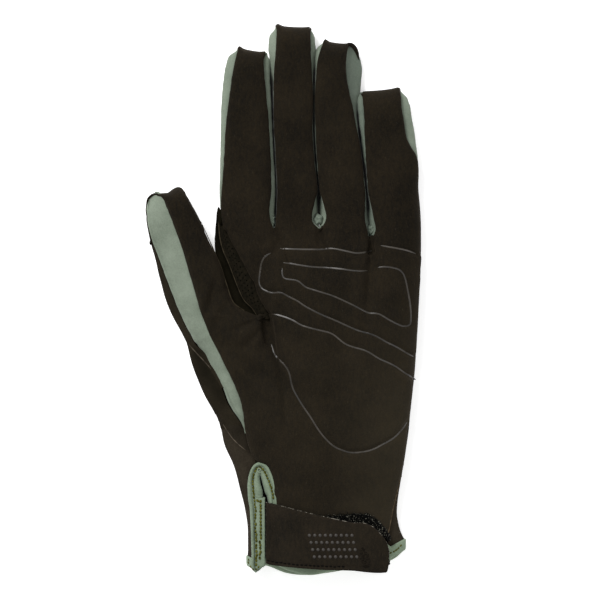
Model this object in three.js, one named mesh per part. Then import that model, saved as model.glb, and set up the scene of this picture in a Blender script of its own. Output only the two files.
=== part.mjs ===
import * as THREE from 'three';

// A left-hand cycling glove with full fingers, lying on its back with the palm up and nothing inside it.
// Millimetres. X runs across the hand with the thumb at -X, Y from the cuff to the fingertips, Z up from the
// surface that it lies on. Tables give X from the glove's middle and "up", the distance from the hem line.

const gloveLength = 240.4; // hem line to middle fingertip
const gloveMiddle = -0.1; // X of the middle of the glove's width, in the tables' X
const suedeWall = 1.2;
const stretchWall = 1.2;
const gussetWall = 1.0;
const bindingWall = 1.7;
const tabWall = 1.5;
const patchWall = 0.9;
const seamGap = 0.35; // between two pieces that are sewn edge to edge
const bindingWidth = 4.3;

// Heights of the outer faces above the surface: in the middle of a finger, along its sides where a gusset joins,
// along a side seam with no gusset, and at the fingertip seam.
const palmFace = { middle: 12.3, side: 9.8, seam: 6.6, tip: 5.6 };
const backFace = { middle: 0, side: 2.2, seam: 4.8, tip: 4.0 };
const tipRounding = 9; // length over which a finger's faces close to its tip seam
const fingerFullness = 2.6; // exponent of the arch across a finger
const palmFullness = 3.2;
const backFullness = 7;

// Edges of the suede on each finger. A bulge is how far the gusset shows beyond the edge, seen from the palm.
// reach is how far the back's right edge lies beyond the suede's, where the finger is rolled over.
const fingers = {
  index: {
    tipSlope: 2.2, // how far the tip's left corner stands above its right one
    rows: [
      { up: 229.1, left: -19.9, right: -7.2, leftBulge: 1.0, rightBulge: 0.6, reach: 0 },
      { up: 224.7, left: -21.2, right: -8.1, leftBulge: 2.8, rightBulge: 1.3, reach: 0 },
      { up: 216.0, left: -22.7, right: -7.9, leftBulge: 3.3, rightBulge: 1.7, reach: 0 },
      { up: 202.9, left: -24.4, right: -6.5, leftBulge: 2.6, rightBulge: 1.5, reach: 0 },
      { up: 185.5, left: -25.5, right: -5.2, leftBulge: 2.0, rightBulge: 1.4, reach: 0 },
      { up: 168.0, left: -26.8, right: -5.5, leftBulge: 1.3, rightBulge: 2.1, reach: 0 },
      { up: 158.0, left: -27.0, right: -5.9, leftBulge: 0.6, rightBulge: 2.1, reach: 0 },
    ],
  },
  middle: {
    tipSlope: 0.8,
    rows: [
      { up: 239.4, left: -3.5, right: 12.4, leftBulge: 0.8, rightBulge: 0.8, reach: 0 },
      { up: 233.5, left: -3.3, right: 12.2, leftBulge: 2.4, rightBulge: 1.5, reach: 0 },
      { up: 224.7, left: -3.9, right: 12.2, leftBulge: 2.3, rightBulge: 1.8, reach: 0 },
      { up: 211.6, left: -4.4, right: 13.2, leftBulge: 0.8, rightBulge: 0.0, reach: 0 },
      { up: 194.2, left: -4.1, right: 13.2, leftBulge: 0.0, rightBulge: 0.0, reach: 0 },
      { up: 181.1, left: -3.1, right: 13.9, leftBulge: 0.0, rightBulge: 0.0, reach: 0 },
      { up: 168.0, left: -2.6, right: 15.1, leftBulge: 0.0, rightBulge: 0.4, reach: 0 },
      { up: 158.0, left: -2.8, right: 12.7, leftBulge: 0.3, rightBulge: 2.2, reach: 0 },
    ],
  },
  ring: {
    tipSlope: 1.4,
    rows: [
      { up: 232.4, left: 17.5, right: 28.8, leftBulge: 1.0, rightBulge: 0.8, reach: 1.2 },
      { up: 226.9, left: 15.5, right: 27.7, leftBulge: 0.7, rightBulge: 1.4, reach: 4.9 },
      { up: 220.4, left: 14.4, right: 27.5, leftBulge: 0.0, rightBulge: 1.8, reach: 6.3 },
      { up: 211.6, left: 13.8, right: 28.8, leftBulge: 0.0, rightBulge: 0.8, reach: 4.1 },
      { up: 202.9, left: 13.7, right: 31.2, leftBulge: 0.0, rightBulge: 0.4, reach: 1.0 },
      { up: 189.8, left: 13.9, right: 33.6, leftBulge: 0.0, rightBulge: 0.0, reach: 0 },
      { up: 176.7, left: 15.1, right: 34.9, leftBulge: 0.0, rightBulge: 0.0, reach: 0 },
      { up: 165.8, left: 16.4, right: 35.6, leftBulge: 0.5, rightBulge: 0.4, reach: 0 },
      { up: 158.0, left: 18.1, right: 35.6, leftBulge: 2.1, rightBulge: 0.6, reach: 0 },
    ],
  },
  little: {
    tipSlope: -1.6,
    rows: [
      { up: 211.2, left: 33.6, right: 51.1, leftBulge: 0.7, rightBulge: 1.0, reach: 0 },
      { up: 205.1, left: 34.1, right: 51.7, leftBulge: 1.6, rightBulge: 3.3, reach: 0 },
      { up: 198.5, left: 34.5, right: 52.8, leftBulge: 1.5, rightBulge: 3.5, reach: 0 },
      { up: 189.8, left: 35.3, right: 54.5, leftBulge: 1.1, rightBulge: 3.3, reach: 0 },
      { up: 181.1, left: 36.0, right: 58.5, leftBulge: 0.7, rightBulge: 0.3, reach: 0 },
      { up: 168.0, left: 36.9, right: 58.9, leftBulge: 0.0, rightBulge: 0.0, reach: 0 },
      { up: 157.1, left: 38.8, right: 59.8, leftBulge: 0.8, rightBulge: 0.0, reach: 0 },
      { up: 150.5, left: 39.7, right: 60.0, leftBulge: 1.9, rightBulge: 0.0, reach: 0 },
    ],
  },
};

// Ends of the finger slits, where two fingers meet, and the outer ends of the knuckle line.
const knuckles = [
  { x: -26.2, up: 150.6 },
  { x: -3.9, up: 151.2 },
  { x: 15.7, up: 151.4 },
  { x: 37.5, up: 147.1 },
  { x: 60.0, up: 147.9 },
];
const bulgeAtCrotch = 0.5;
const outerGussetEnd = 160; // up, where the index gusset ends and the crotch patch begins
const littleGussetEnd = 181; // up, where the little finger's outer gusset runs out
const littleSeam = { from: 190, run: 16 }; // where the suede comes down from the gusset's edge to the side seam

// Thumb: the suede's two edges, then the line where the gusset meets the thumb's back, and the back's two edges.
const thumb = [
  { left: [-54.2, 166.4], right: [-42.6, 168.5], gusset: [-58.3, 165.0], outline: [-58.8, 165.2], inner: [-43.3, 168.2] },
  { left: [-51.1, 160.6], right: [-39.4, 161.7], gusset: [-59.2, 156.5], outline: [-59.7, 156.5], inner: [-40.1, 161.5] },
  { left: [-48.0, 153.2], right: [-35.5, 154.2], gusset: [-57.9, 148.0], outline: [-58.4, 148.0], inner: [-36.2, 154.0] },
  { left: [-44.5, 143.6], right: [-30.5, 143.2], gusset: [-55.0, 139.5], outline: [-56.1, 139.2], inner: [-31.2, 143.0] },
  { left: [-41.9, 135.3], right: [-26.9, 134.8], gusset: [-51.8, 131.0], outline: [-53.9, 130.5], inner: [-27.8, 134.6] },
  { left: [-39.3, 126.5], right: [-24.2, 126.5], gusset: [-48.6, 122.5], outline: [-51.6, 121.5], inner: [-25.0, 126.3] },
  { left: [-36.7, 117.8], right: [-21.4, 119.1], gusset: [-45.2, 114.0], outline: [-48.3, 112.9], inner: [-22.4, 120.0] },
  { left: [-34.5, 111.3], right: [-16.6, 115.4], gusset: [-42.0, 107.4], outline: [-44.6, 106.4], inner: [-19.6, 116.9] },
  { left: [-31.9, 104.3], right: [-7.9, 113.9], gusset: [-38.9, 101.7], outline: [-42.2, 101.5], inner: [-17.9, 115.2] },
];
const thumbSection = [12.2, 13.2, 13.7, 13.3, 12.1, 9.6]; // suede's height at the places in "across"
const thumbTipRounding = 8;
const thumbBackRight = 7.4; // height of the back's right edge, under the suede's
const thumbBackEdge = { left: 4.6, outline: 2.9 };

// Left edge of the suede on the hand: first up the index side to the thumb's crotch, then below the thumb.
const crotchEdge = [[-26.2, 150.6], [-24.6, 149.0], [-22.3, 144.0], [-19.2, 138.3], [-16.1, 132.2], [-13.5, 126.5],
  [-10.5, 120.0], [-7.9, 113.9]];
const thenarEdge = [
  { x: -31.9, up: 104.3, height: 12.2 },
  { x: -25.3, up: 90.8, height: 11.3 },
  { x: -19.2, up: 76.4, height: 10.2 },
  { x: -16.6, up: 62.0, height: 9.4 },
  { x: -12.9, up: 51.4, height: 9.5 },
  { x: -6.4, up: 48.6, height: 10.4 },
  { x: -3.4, up: 42.3, height: 11.0 },
  { x: -2.2, up: 30.5, height: 11.2 },
  { x: -1.9, up: 9.1, height: 11.2 },
];
const palmRight = [[60.0, 147.9], [59.8, 141.8], [59.3, 130.0], [58.4, 113.0]];
const heelRight = [
  { x: 58.4, up: 113.0, height: 6.6 },
  { x: 57.6, up: 98.0, height: 6.6 },
  { x: 56.2, up: 83.0, height: 6.6 },
  { x: 54.5, up: 68.0, height: 6.6 },
  { x: 52.6, up: 52.0, height: 6.7 },
  { x: 50.6, up: 41.5, height: 7.2 },
  { x: 48.1, up: 30.5, height: 8.6 },
  { x: 46.2, up: 21.0, height: 9.8 },
  { x: 44.6, up: 13.9, height: 10.4 },
];
const crown = [{ up: 151, z: 13.6 }, { up: 132, z: 16.2 }, { up: 112, z: 17.2 }, { up: 88, z: 17.2 },
  { up: 60, z: 15.6 }, { up: 36, z: 13.4 }, { up: 16, z: 12.6 }, { up: 0, z: 12.4 }];

// Cuff: lower end of the suede and of the back, each one binding's width above the hem.
const palmHem = [[-1.9, 9.1], [3.1, 6.6], [11.8, 4.9], [22.7, 6.9], [33.6, 9.5], [44.6, 13.9]];
const backHem = [[-14.6, 7.6], [-4.0, 5.4], [11.8, 5.3], [29.2, 7.2], [46.3, 11.2], [53.2, 15.2]];

// Outline of the back below the thumb, the seam where it comes up over the edge to meet the palm side, and the
// height of that seam. The same for the right side of the hand.
const backLeft = [
  { outline: [-41.9, 100.7], seam: [-38.2, 100.2], height: 5.4 },
  { outline: [-39.7, 92.0], seam: [-32.6, 91.6], height: 6.4 },
  { outline: [-36.0, 83.5], seam: [-27.2, 82.6], height: 7.4 },
  { outline: [-31.2, 74.0], seam: [-23.6, 74.0], height: 7.9 },
  { outline: [-27.3, 66.6], seam: [-20.2, 65.8], height: 8.4 },
  { outline: [-25.1, 56.5], seam: [-14.9, 55.4], height: 8.6 },
  { outline: [-20.9, 46.7], seam: [-15.9, 45.4], height: 7.1 },
  { outline: [-18.2, 36.0], seam: [-16.0, 36.0], height: 6.8 },
  { outline: [-16.0, 23.0], seam: [-14.9, 23.0], height: 6.8 },
  { outline: [-15.0, 8.4], seam: [-13.9, 7.2], height: 6.8 },
];
const outlineHeight = 4.0; // of the widest line of the back, below the thumb
const cuffRight = [
  { seam: [58.3, 113.0], outline: [58.6, 113.0], height: 4.8 },
  { seam: [56.1, 83.0], outline: [56.4, 83.0], height: 4.8 },
  { seam: [52.5, 52.0], outline: [52.8, 52.0], height: 4.8 },
  { seam: [48.7, 31.0], outline: [49.7, 31.0], height: 6.9 },
  { seam: [46.9, 21.8], outline: [50.2, 22.0], height: 9.0 },
  { seam: [45.2, 14.2], outline: [53.5, 15.2], height: 9.9 },
];
const backCrotch = [[-26.4, 150.6], [-29.0, 147.0], [-29.4, 143.0], [-26.6, 134.8], [-23.9, 126.4], [-21.3, 119.4],
  [-17.2, 114.5]];
const cuffSeamShare = 0.45; // share of the way from the thumb to the hem at which the cuff piece begins

// Crotch between index and thumb: the seam between the perforated patch and the plain web, and the web's far edge.
const webSeam = [[-28.2, 158.4], [-27.7, 148.4], [-26.2, 141.8], [-23.6, 135.7], [-20.1, 126.5], [-17.2, 120.2],
  [-13.6, 116.4]];
const webEdge = [[-29.0, 158.4], [-29.6, 149.7], [-29.7, 143.1], [-26.7, 135.9], [-23.8, 127.0], [-21.2, 120.8],
  [-17.2, 117.4]];
const webHeights = { patchTop: 8.4, patchBottom: 7.2, webTop: 6.7, webBottom: 4.6 };

// Slit at the wrist: the binding's outer edge from the right leg's foot, over the top, to the left leg's foot.
const slitOuter = [[-2.3, 5.6], [-2.6, 31.0], [-3.6, 40.0], [-6.5, 47.9], [-10.0, 49.7], [-13.5, 47.6], [-15.3, 41.5],
  [-15.3, 34.9], [-14.4, 28.0], [-13.9, 16.0], [-13.3, 6.8]];
const slitInner = [[-6.4, 5.6], [-6.9, 31.0], [-8.1, 38.0], [-9.3, 42.3], [-9.9, 43.3], [-10.3, 42.3], [-10.1, 38.0],
  [-9.5, 34.0], [-9.0, 28.0], [-8.7, 16.0], [-8.6, 6.8]];
const slitHeight = { atX: -15.3, z: 9.0, rise: 0.17 }; // the binding climbs towards the middle of the cuff

// Closure: the tab, the strip that sews down its end, the hook pad under it and the loop field on the suede.
const tabTop = [[-7.3, 31.4], [-1.3, 29.9], [16.1, 26.2], [29.2, 23.7], [34.6, 23.4], [38.8, 21.8], [42.0, 18.9],
  [44.6, 15.4], [45.8, 11.4]];
const tabBottom = [[-7.3, 6.6], [-3.5, 4.9], [16.0, 3.2], [29.2, 2.8], [35.8, 2.1], [39.5, 1.6], [42.4, 1.8],
  [44.7, 3.0], [45.7, 7.4]];
const anchorStrip = { left: -11.7, right: -7.75, top: 34.0, foot: 6.4, lift: 1.65, wall: 1.3 };
const loopField = {
  top: [[9.0, 25.4], [24.9, 26.6], [35.2, 26.8], [38.8, 25.2], [42.3, 22.0], [44.4, 18.6]],
  bottom: [[9.0, 10.2], [24.9, 9.6], [35.2, 11.0], [38.8, 12.6], [42.3, 13.9], [44.4, 16.0]],
  lift: 1.35,
  wall: 0.9,
};
const hookPad = {
  top: [[11.0, 23.0], [25.0, 22.4], [34.5, 21.4], [40.0, 18.4]],
  bottom: [[11.0, 12.0], [25.0, 12.0], [34.5, 13.0], [40.0, 15.0]],
  lift: 2.5,
  wall: 0.8,
};
const tabLift = { start: 1.9, full: 4.5, run: 15 }; // tab's outer face above the slit's binding, then above the suede
const tabEnd = { height: 15.2, from: 43, up: 17 }; // the stiff end doesn't bend down with the cuff's edge

// Folds pressed into the palm side, each along a line, with a depth and a half width.
const folds = [
  { from: [38.3, 139.0], to: [37.3, 116.0], depth: 1.5, width: 3.6 },
  { from: [16.8, 142.0], to: [18.0, 130.0], depth: 0.8, width: 4.0 },
  { from: [-5.4, 142.0], to: [-7.6, 126.0], depth: 0.8, width: 4.0 },
  { from: [-6.6, 105.0], to: [-5.4, 97.0], depth: 2.0, width: 4.2 },
  { from: [-12.0, 141.0], to: [-9.5, 117.0], depth: 0.8, width: 5.0 },
  { from: [-20.0, 96.0], to: [-6.0, 66.0], depth: 0.9, width: 6.0 },
  { from: [-10.0, 58.0], to: [4.0, 40.0], depth: 0.9, width: 5.0 },
];

const across = [0, 0.12, 0.37, 0.63, 0.88, 1]; // places of the lengthwise lines on a finger or thumb
const alongFinger = [0, 0.02, 0.06, 0.14, 0.27, 0.42, 0.57, 0.71, 0.83, 0.93, 1];
const palmRows = 7; // above the thumb's crotch
const heelRows = 15; // below it
const sectionSteps = 4; // round a gusset
const alongGusset = [0.035, 0.08, 0.16, 0.27, 0.42, 0.57, 0.71, 0.83, 0.93, 1];
const tipSetback = 1.2; // a gusset's top follows the suede this much later, so that it stays under it at the tip
const stripInset = 0.2; // a gusset's edges lie this far inside the edges that they are sewn to
const fingerGap = 0.3; // between the gussets of two fingers, where they touch
const crotchEye = { width: 0.9, length: 7 }; // how much that gap opens towards the knuckle, over that length
const wallShare = 0.26; // of a strip's height: its wall is no thicker
const lowestStation = 1; // a strip starts where its edges are at least this far apart

const suedeBlack = new THREE.MeshStandardMaterial({ color: 0x231e18, roughness: 0.95, metalness: 0 });
const stretchBlack = new THREE.MeshStandardMaterial({ color: 0x26221b, roughness: 0.9, metalness: 0 });
const meshBlack = new THREE.MeshStandardMaterial({ color: 0x161310, roughness: 1, metalness: 0 });
const sage = new THREE.MeshStandardMaterial({ color: 0x7a8273, roughness: 0.8, metalness: 0 });
const bindingSage = new THREE.MeshStandardMaterial({ color: 0x6e7a68, roughness: 0.75, metalness: 0 });
const hookBlack = new THREE.MeshStandardMaterial({ color: 0x0c0b0a, roughness: 0.7, metalness: 0 });

const mix = THREE.MathUtils.lerp;
const ease = (t) => THREE.MathUtils.smoothstep(t, 0, 1);
const arch = (s, fullness) => Math.sqrt(Math.max(0, 1 - Math.abs(s) ** fullness));
const quarterRound = (t) => Math.sqrt(1 - (1 - Math.min(1, Math.max(0, t))) ** 2);
const point = (x, up, z) => new THREE.Vector3(x, up, z);
const moved = (p, dx, dUp, dz) => new THREE.Vector3(p.x + dx, p.y + dUp, p.z + dz);

// A column of a table, read at any "up" by a smooth curve through its rows, which run from high to low.
function read(rows, column, up) {
  const last = rows.length - 1;
  if (up >= rows[0].up) return rows[0][column];
  if (up <= rows[last].up) return rows[last][column];
  const i = rows.findIndex((row, k) => k < last && rows[k + 1].up <= up);
  const slope = (k) => {
    const a = rows[Math.max(0, k - 1)];
    const b = rows[Math.min(last, k + 1)];
    return (b[column] - a[column]) / (b.up - a.up);
  };
  const span = rows[i + 1].up - rows[i].up;
  const t = (up - rows[i].up) / span;
  const t2 = t * t;
  const t3 = t2 * t;
  return (2 * t3 - 3 * t2 + 1) * rows[i][column] + (3 * t2 - 2 * t3) * rows[i + 1][column]
    + span * ((t3 - 2 * t2 + t) * slope(i) + (t3 - t2) * slope(i + 1));
}

// A smooth curve through points in plan, as a function of the share of the way along its points.
function plan(points) {
  const curve = new THREE.SplineCurve(points.map(([x, up]) => new THREE.Vector2(x, up)));
  return (t) => curve.getPoint(t);
}

// One closed wall. Each patch is a grid of points on the outer face; patches with points in common are joined.
// The inner face is the outer one moved inwards by the thickness, or by a point's own "room" where that is less,
// and a rim closes every free edge.
function wall(patches, thickness) {
  const outer = [];
  const found = new Map();
  const numberOf = (p) => {
    const key = [p.x, p.y, p.z].map((c) => Math.round(c * 100)).join();
    if (!found.has(key)) {
      found.set(key, outer.length);
      outer.push(p);
    }
    return found.get(key);
  };
  const faces = [];
  for (const rows of patches) {
    for (let r = 0; r + 1 < rows.length; r++) {
      for (let c = 0; c + 1 < rows[r].length; c++) {
        const [a, b, d, e] = [rows[r][c], rows[r + 1][c], rows[r + 1][c + 1], rows[r][c + 1]].map(numberOf);
        for (const face of [[a, b, d], [a, d, e]]) if (new Set(face).size === 3) faces.push(face);
      }
    }
  }
  const normals = outer.map(() => new THREE.Vector3());
  for (const face of faces) {
    const [a, b, d] = face.map((i) => outer[i]);
    const normal = b.clone().sub(a).cross(d.clone().sub(a));
    const area = normal.length();
    face.forEach((i, k) => {
      const [next, last] = [1, 2].map((step) => outer[face[(k + step) % 3]].clone().sub(outer[i]));
      normals[i].addScaledVector(normal, outer[i].room ? next.angleTo(last) / area : 1);
    });
  }
  const count = outer.length;
  const depth = (p) => Math.min(thickness, p.room ?? thickness);
  const inner = outer.map((p, i) => p.clone().addScaledVector(normals[i].normalize(), -depth(p)));
  const free = new Map();
  for (const [a, b, d] of faces) {
    for (const [i, j] of [[a, b], [b, d], [d, a]]) {
      if (!free.delete(`${j},${i}`)) free.set(`${i},${j}`, [i, j]);
    }
  }
  const index = faces.flatMap(([a, b, d]) => [a, b, d, count + a, count + d, count + b]);
  for (const [i, j] of free.values()) index.push(j, i, count + i, j, count + i, count + j);
  const geometry = new THREE.BufferGeometry().setFromPoints([...outer, ...inner]);
  geometry.setIndex(index);
  geometry.computeVertexNormals();
  return geometry;
}

// The faces of a finger

function tipFade(finger, up) {
  return Math.max(0, 1 - (finger.rows[0].up - up) / 12);
}

function sideHeight(name, right, up, face) {
  if (name !== 'little' || !right) return face.side;
  return mix(face.side, face.seam, ease((littleSeam.from - up) / littleSeam.run));
}

function fingerRow(name, order, share, face) {
  const finger = fingers[name];
  const tipUp = finger.rows[0].up;
  const ends = [knuckles[order], knuckles[order + 1]];
  const sides = ends.map((end, right) => {
    const rows = [...finger.rows, { ...finger.rows.at(-1), up: end.up, left: end.x, right: end.x, reach: 0 }];
    const up = mix(tipUp, end.up, share);
    const reach = right && face === backFace ? read(rows, 'reach', up) : 0;
    return point(read(rows, right ? 'right' : 'left', up) + reach, up, sideHeight(name, right, up, face));
  });
  return across.map((u) => {
    const p = sides[0].clone().lerp(sides[1], u);
    const whole = p.z + (face.middle - p.z) * arch(2 * u - 1, fingerFullness);
    p.z = mix(face.tip, whole, quarterRound((tipUp - p.y) / tipRounding));
    p.y += finger.tipSlope * (0.5 - u) * tipFade(finger, p.y);
    return p;
  });
}

function fingerPatch(name, order, face) {
  return alongFinger.map((share) => fingerRow(name, order, share, face));
}

// The hand: a patch between four edges, given its first row in full. Its heights leave the first row's over the
// share "settle" of its length and then follow the profile, a function of the places across and along.
function handPatch(firstRow, leftAt, rightAt, lastAt, steps, settle, profile) {
  const width = firstRow.at(-1).x - firstRow[0].x;
  const places = firstRow.map((p) => (p.x - firstRow[0].x) / width);
  const rows = [firstRow];
  for (let r = 1; r <= steps; r++) {
    const v = r / steps;
    rows.push(places.map((u, c) => {
      const low = lastAt(u);
      const straight = (a, b) => ({ x: mix(a.x, b.x, v), y: mix(a.y, b.y, v) });
      const base = straight(firstRow[c], low);
      const leftBase = straight(firstRow[0], lastAt(0));
      const rightBase = straight(firstRow.at(-1), lastAt(1));
      const left = leftAt(v);
      const right = rightAt(v);
      const x = base.x + (left.x - leftBase.x) * (1 - u) + (right.x - rightBase.x) * u;
      const up = base.y + (left.y - leftBase.y) * (1 - u) + (right.y - rightBase.y) * u;
      return point(x, up, mix(firstRow[c].z, profile(u, v, up), ease(v / settle)));
    }));
  }
  return rows;
}

const handNames = Object.keys(fingers);

function pressed(p) {
  for (const { from, to, depth, width } of folds) {
    const line = new THREE.Line3(point(...from, 0), point(...to, 0));
    const flat = point(p.x, p.y, 0);
    const near = line.closestPointToPoint(flat, true, new THREE.Vector3());
    p.z -= depth * Math.exp(-(near.distanceToSquared(flat) / width ** 2));
  }
  return p;
}

function joinRows(parts) {
  return parts.flatMap((row, i) => (i ? row.slice(1) : row));
}

function palmPatches() {
  const fingerPatches = handNames.map((name, i) => fingerPatch(name, i, palmFace));
  const crotchHeight = thumbSection.at(-1);
  const knuckleRow = joinRows(fingerPatches.map((rows) => rows.at(-1)));
  const corner = new THREE.Vector2(...palmRight.at(-1));
  const crotch = new THREE.Vector2(...crotchEdge.at(-1));
  const palm = handPatch(knuckleRow, plan(crotchEdge), plan(palmRight), (u) => crotch.clone().lerp(corner, u),
    palmRows, 0.75, (u, v, up) => archedHeight(u, mix(palmFace.side, crotchHeight, v), palmFace.seam, up));
  const thumbRows = thumbPatch();
  const wristRow = joinRows([thumbRows.at(-1), palm.at(-1)]);
  const profile = (u, v, up) => archedHeight(u, heightAlong(thenarEdge, v), heightAlong(heelRight, v), up);
  const heel = handPatch(wristRow, edgePlan(thenarEdge), edgePlan(heelRight), plan(palmHem), heelRows, 0.5, profile);
  const patches = [...fingerPatches, palm, thumbRows, heel];
  new Set(patches.flat(2)).forEach(pressed);
  return { patches, heel };
}

const edgePlan = (rows) => plan(rows.map((row) => [row.x, row.up]));

function archedHeight(u, left, right, up) {
  const chord = mix(left, right, u);
  return chord + (read(crown, 'z', up) - chord) * arch(2 * u - 1, palmFullness);
}

function heightAlong(rows, v) {
  const place = v * (rows.length - 1);
  const i = Math.min(rows.length - 2, Math.floor(place));
  return mix(rows[i].height, rows[i + 1].height, place - i);
}

function thumbPlan(column) {
  return plan(thumb.map((row) => row[column]));
}

function thumbPatch() {
  const left = thumbPlan('left');
  const right = thumbPlan('right');
  return alongFinger.map((share) => {
    const a = left(share);
    const b = right(share);
    const fromTip = thumb[0].right[1] - b.y;
    return across.map((u, c) => {
      const z = mix(palmFace.tip, thumbSection[c], quarterRound(fromTip / thumbTipRounding));
      return point(mix(a.x, b.x, u), mix(a.y, b.y, u), z);
    });
  });
}

// The back of the hand, in two walls: the back with its fingers, and the cuff below the seam

function backPatches() {
  const fingerPatches = handNames.map((name, i) => fingerPatch(name, i, backFace));
  const knuckleRow = joinRows(fingerPatches.map((rows) => rows.at(-1)));
  const crotch = new THREE.Vector2(...backCrotch.at(-1));
  const corner = new THREE.Vector2(...cuffRight[0].outline);
  const lower = (edgeLeft, edgeRight) => (u) => {
    const edge = mix(edgeLeft, edgeRight, u);
    return Math.max(0, edge * (1 - arch(2 * u - 1, backFullness)) - 0.15 * arch(2 * u - 1, 2));
  };
  const palm = handPatch(knuckleRow, plan(backCrotch), plan(palmRight), (u) => crotch.clone().lerp(corner, u),
    palmRows, 0.8, lower(backFace.side, backFace.seam));
  const first = backLeft[0].outline;
  const base = across.slice(0, -1).map((u) => {
    const z = u < 0.5 ? outlineHeight * (1 - arch(2 * u - 1, backFullness)) : 0;
    return point(mix(first[0], crotch.x, u), mix(first[1], crotch.y, u), z);
  });
  const wristRow = [...base, ...palm.at(-1)];
  const outlineLeft = plan(backLeft.map((row) => row.outline));
  const heel = handPatch(wristRow, outlineLeft, plan(cuffRight.map((row) => row.outline)), plan(backHem), heelRows,
    0.4, lower(outlineHeight, backFace.seam - 0.4));
  const wrapped = heel.map((row, r) => wrapRow(row, r / heelRows));
  const seamRow = Math.round(cuffSeamShare * heelRows);
  const cuff = wrapped.slice(seamRow);
  cuff[0] = cuff[0].map((p) => moved(p, 0, -seamGap, 0));
  const hand = wrapped.slice(0, seamRow + 1);
  return { hand: [...fingerPatches, palm, hand], cuff: [cuff], hemRow: cuff.at(-1) };
}

// Carries a row of the back over both edges of the hand, up to its seams with the palm side.
function wrapRow(row, v) {
  const leftSeam = plan(backLeft.map((r) => r.seam))(v);
  const rightSeam = plan(cuffRight.map((r) => r.seam))(v);
  const left = point(leftSeam.x, leftSeam.y, heightAlong(backLeft, v));
  const right = point(rightSeam.x, rightSeam.y, heightAlong(cuffRight, v) + 0.4);
  const shoulder = row[0].clone().lerp(left, 0.5);
  shoulder.z += 0.12 * row[0].distanceTo(left);
  return [left, shoulder, ...row, right];
}

// Gussets: strips between an edge of the palm side and the edge of the back under it

// Each station has the two edge points, and how far the strip bulges outwards half way down. Where the edges are
// close together the wall is thinner, so that its inner face doesn't meet itself.
function stripPatch(stations) {
  return stations.map((station, i) => {
    const before = stations[Math.max(0, i - 1)].top;
    const after = stations[Math.min(stations.length - 1, i + 1)].top;
    const outward = new THREE.Vector3(before.y - after.y, after.x - before.x, 0).normalize();
    const room = wallShare * station.top.distanceTo(station.bottom);
    return Array.from({ length: sectionSteps + 1 }, (_, k) => {
      const t = k / sectionSteps;
      const bulge = station.bulge * Math.sin(Math.PI * t) - stripInset;
      return Object.assign(station.top.clone().lerp(station.bottom, t).addScaledVector(outward, bulge), { room });
    });
  });
}

// The stations of one side of a finger from the tip to the place where "up" is the given one, or to the knuckle.
function gussetStations(name, right, endUp) {
  const order = handNames.indexOf(name);
  const finger = fingers[name];
  const knuckleUp = knuckles[order + right].up;
  const tipUp = finger.rows[0].up;
  const endShare = endUp ? (tipUp - endUp) / (tipUp - knuckleUp) : 1;
  const bulges = [...finger.rows, { up: knuckleUp, leftBulge: bulgeAtCrotch, rightBulge: bulgeAtCrotch }];
  const column = right ? 'rightBulge' : 'leftBulge';
  const setback = tipSetback / (tipUp - knuckleUp);
  return alongGusset.map((share) => {
    const at = share * endShare;
    const place = right ? across.length - 1 : 0;
    const top = fingerRow(name, order, at, palmFace)[place];
    top.z = fingerRow(name, order, Math.max(0, at - setback), palmFace)[place].z;
    const bottom = fingerRow(name, order, at, backFace)[place];
    const up = mix(tipUp, knuckleUp, at);
    top.z -= suedeWall + seamGap - 0.2;
    bottom.z += stretchWall + seamGap;
    return { top, bottom, bulge: read(bulges, column, up) };
  }).filter(({ top, bottom }) => top.z - bottom.z > lowestStation);
}

// Two fingers lie side by side, so their gussets are made to fill the space between them.
function betweenFingers(first, second) {
  const down = gussetStations(first, 1);
  const up = gussetStations(second, 0);
  const highest = Math.min(fingers[first].rows[0].up, fingers[second].rows[0].up);
  const lowest = knuckles[handNames.indexOf(second)].up;
  const middle = (station) => (station.top.x + station.bottom.x) / 2;
  const levels = (stations) => stations.map((station) => ({
    up: station.top.y, x: middle(station), bulge: station.bulge,
  }));
  const [downLevels, upLevels] = [levels(down), levels(up)];
  for (const station of [...down, ...up]) {
    const at = station.top.y;
    const eye = crotchEye.width * Math.exp((lowest - at) / crotchEye.length);
    const space = read(upLevels, 'x', at) - read(downLevels, 'x', at) + 2 * stripInset - fingerGap - eye;
    const filled = read(upLevels, 'bulge', at) + read(downLevels, 'bulge', at);
    station.bulge += 0.5 * (space - filled) * ease((highest - at) / 6);
  }
  return stripPatch([...down, ...up.reverse().slice(1)]);
}

// A strip between two curves in plan, with a height for each of its ends.
function bandStations(topAt, bottomAt, steps, topZ, bottomZ, bulge) {
  return Array.from({ length: steps + 1 }, (_, i) => {
    const t = i / steps;
    const a = topAt(t);
    const b = bottomAt(t);
    return { top: point(a.x, a.y, topZ(t)), bottom: point(b.x, b.y, bottomZ(t)), bulge: bulge(t) };
  });
}

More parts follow.
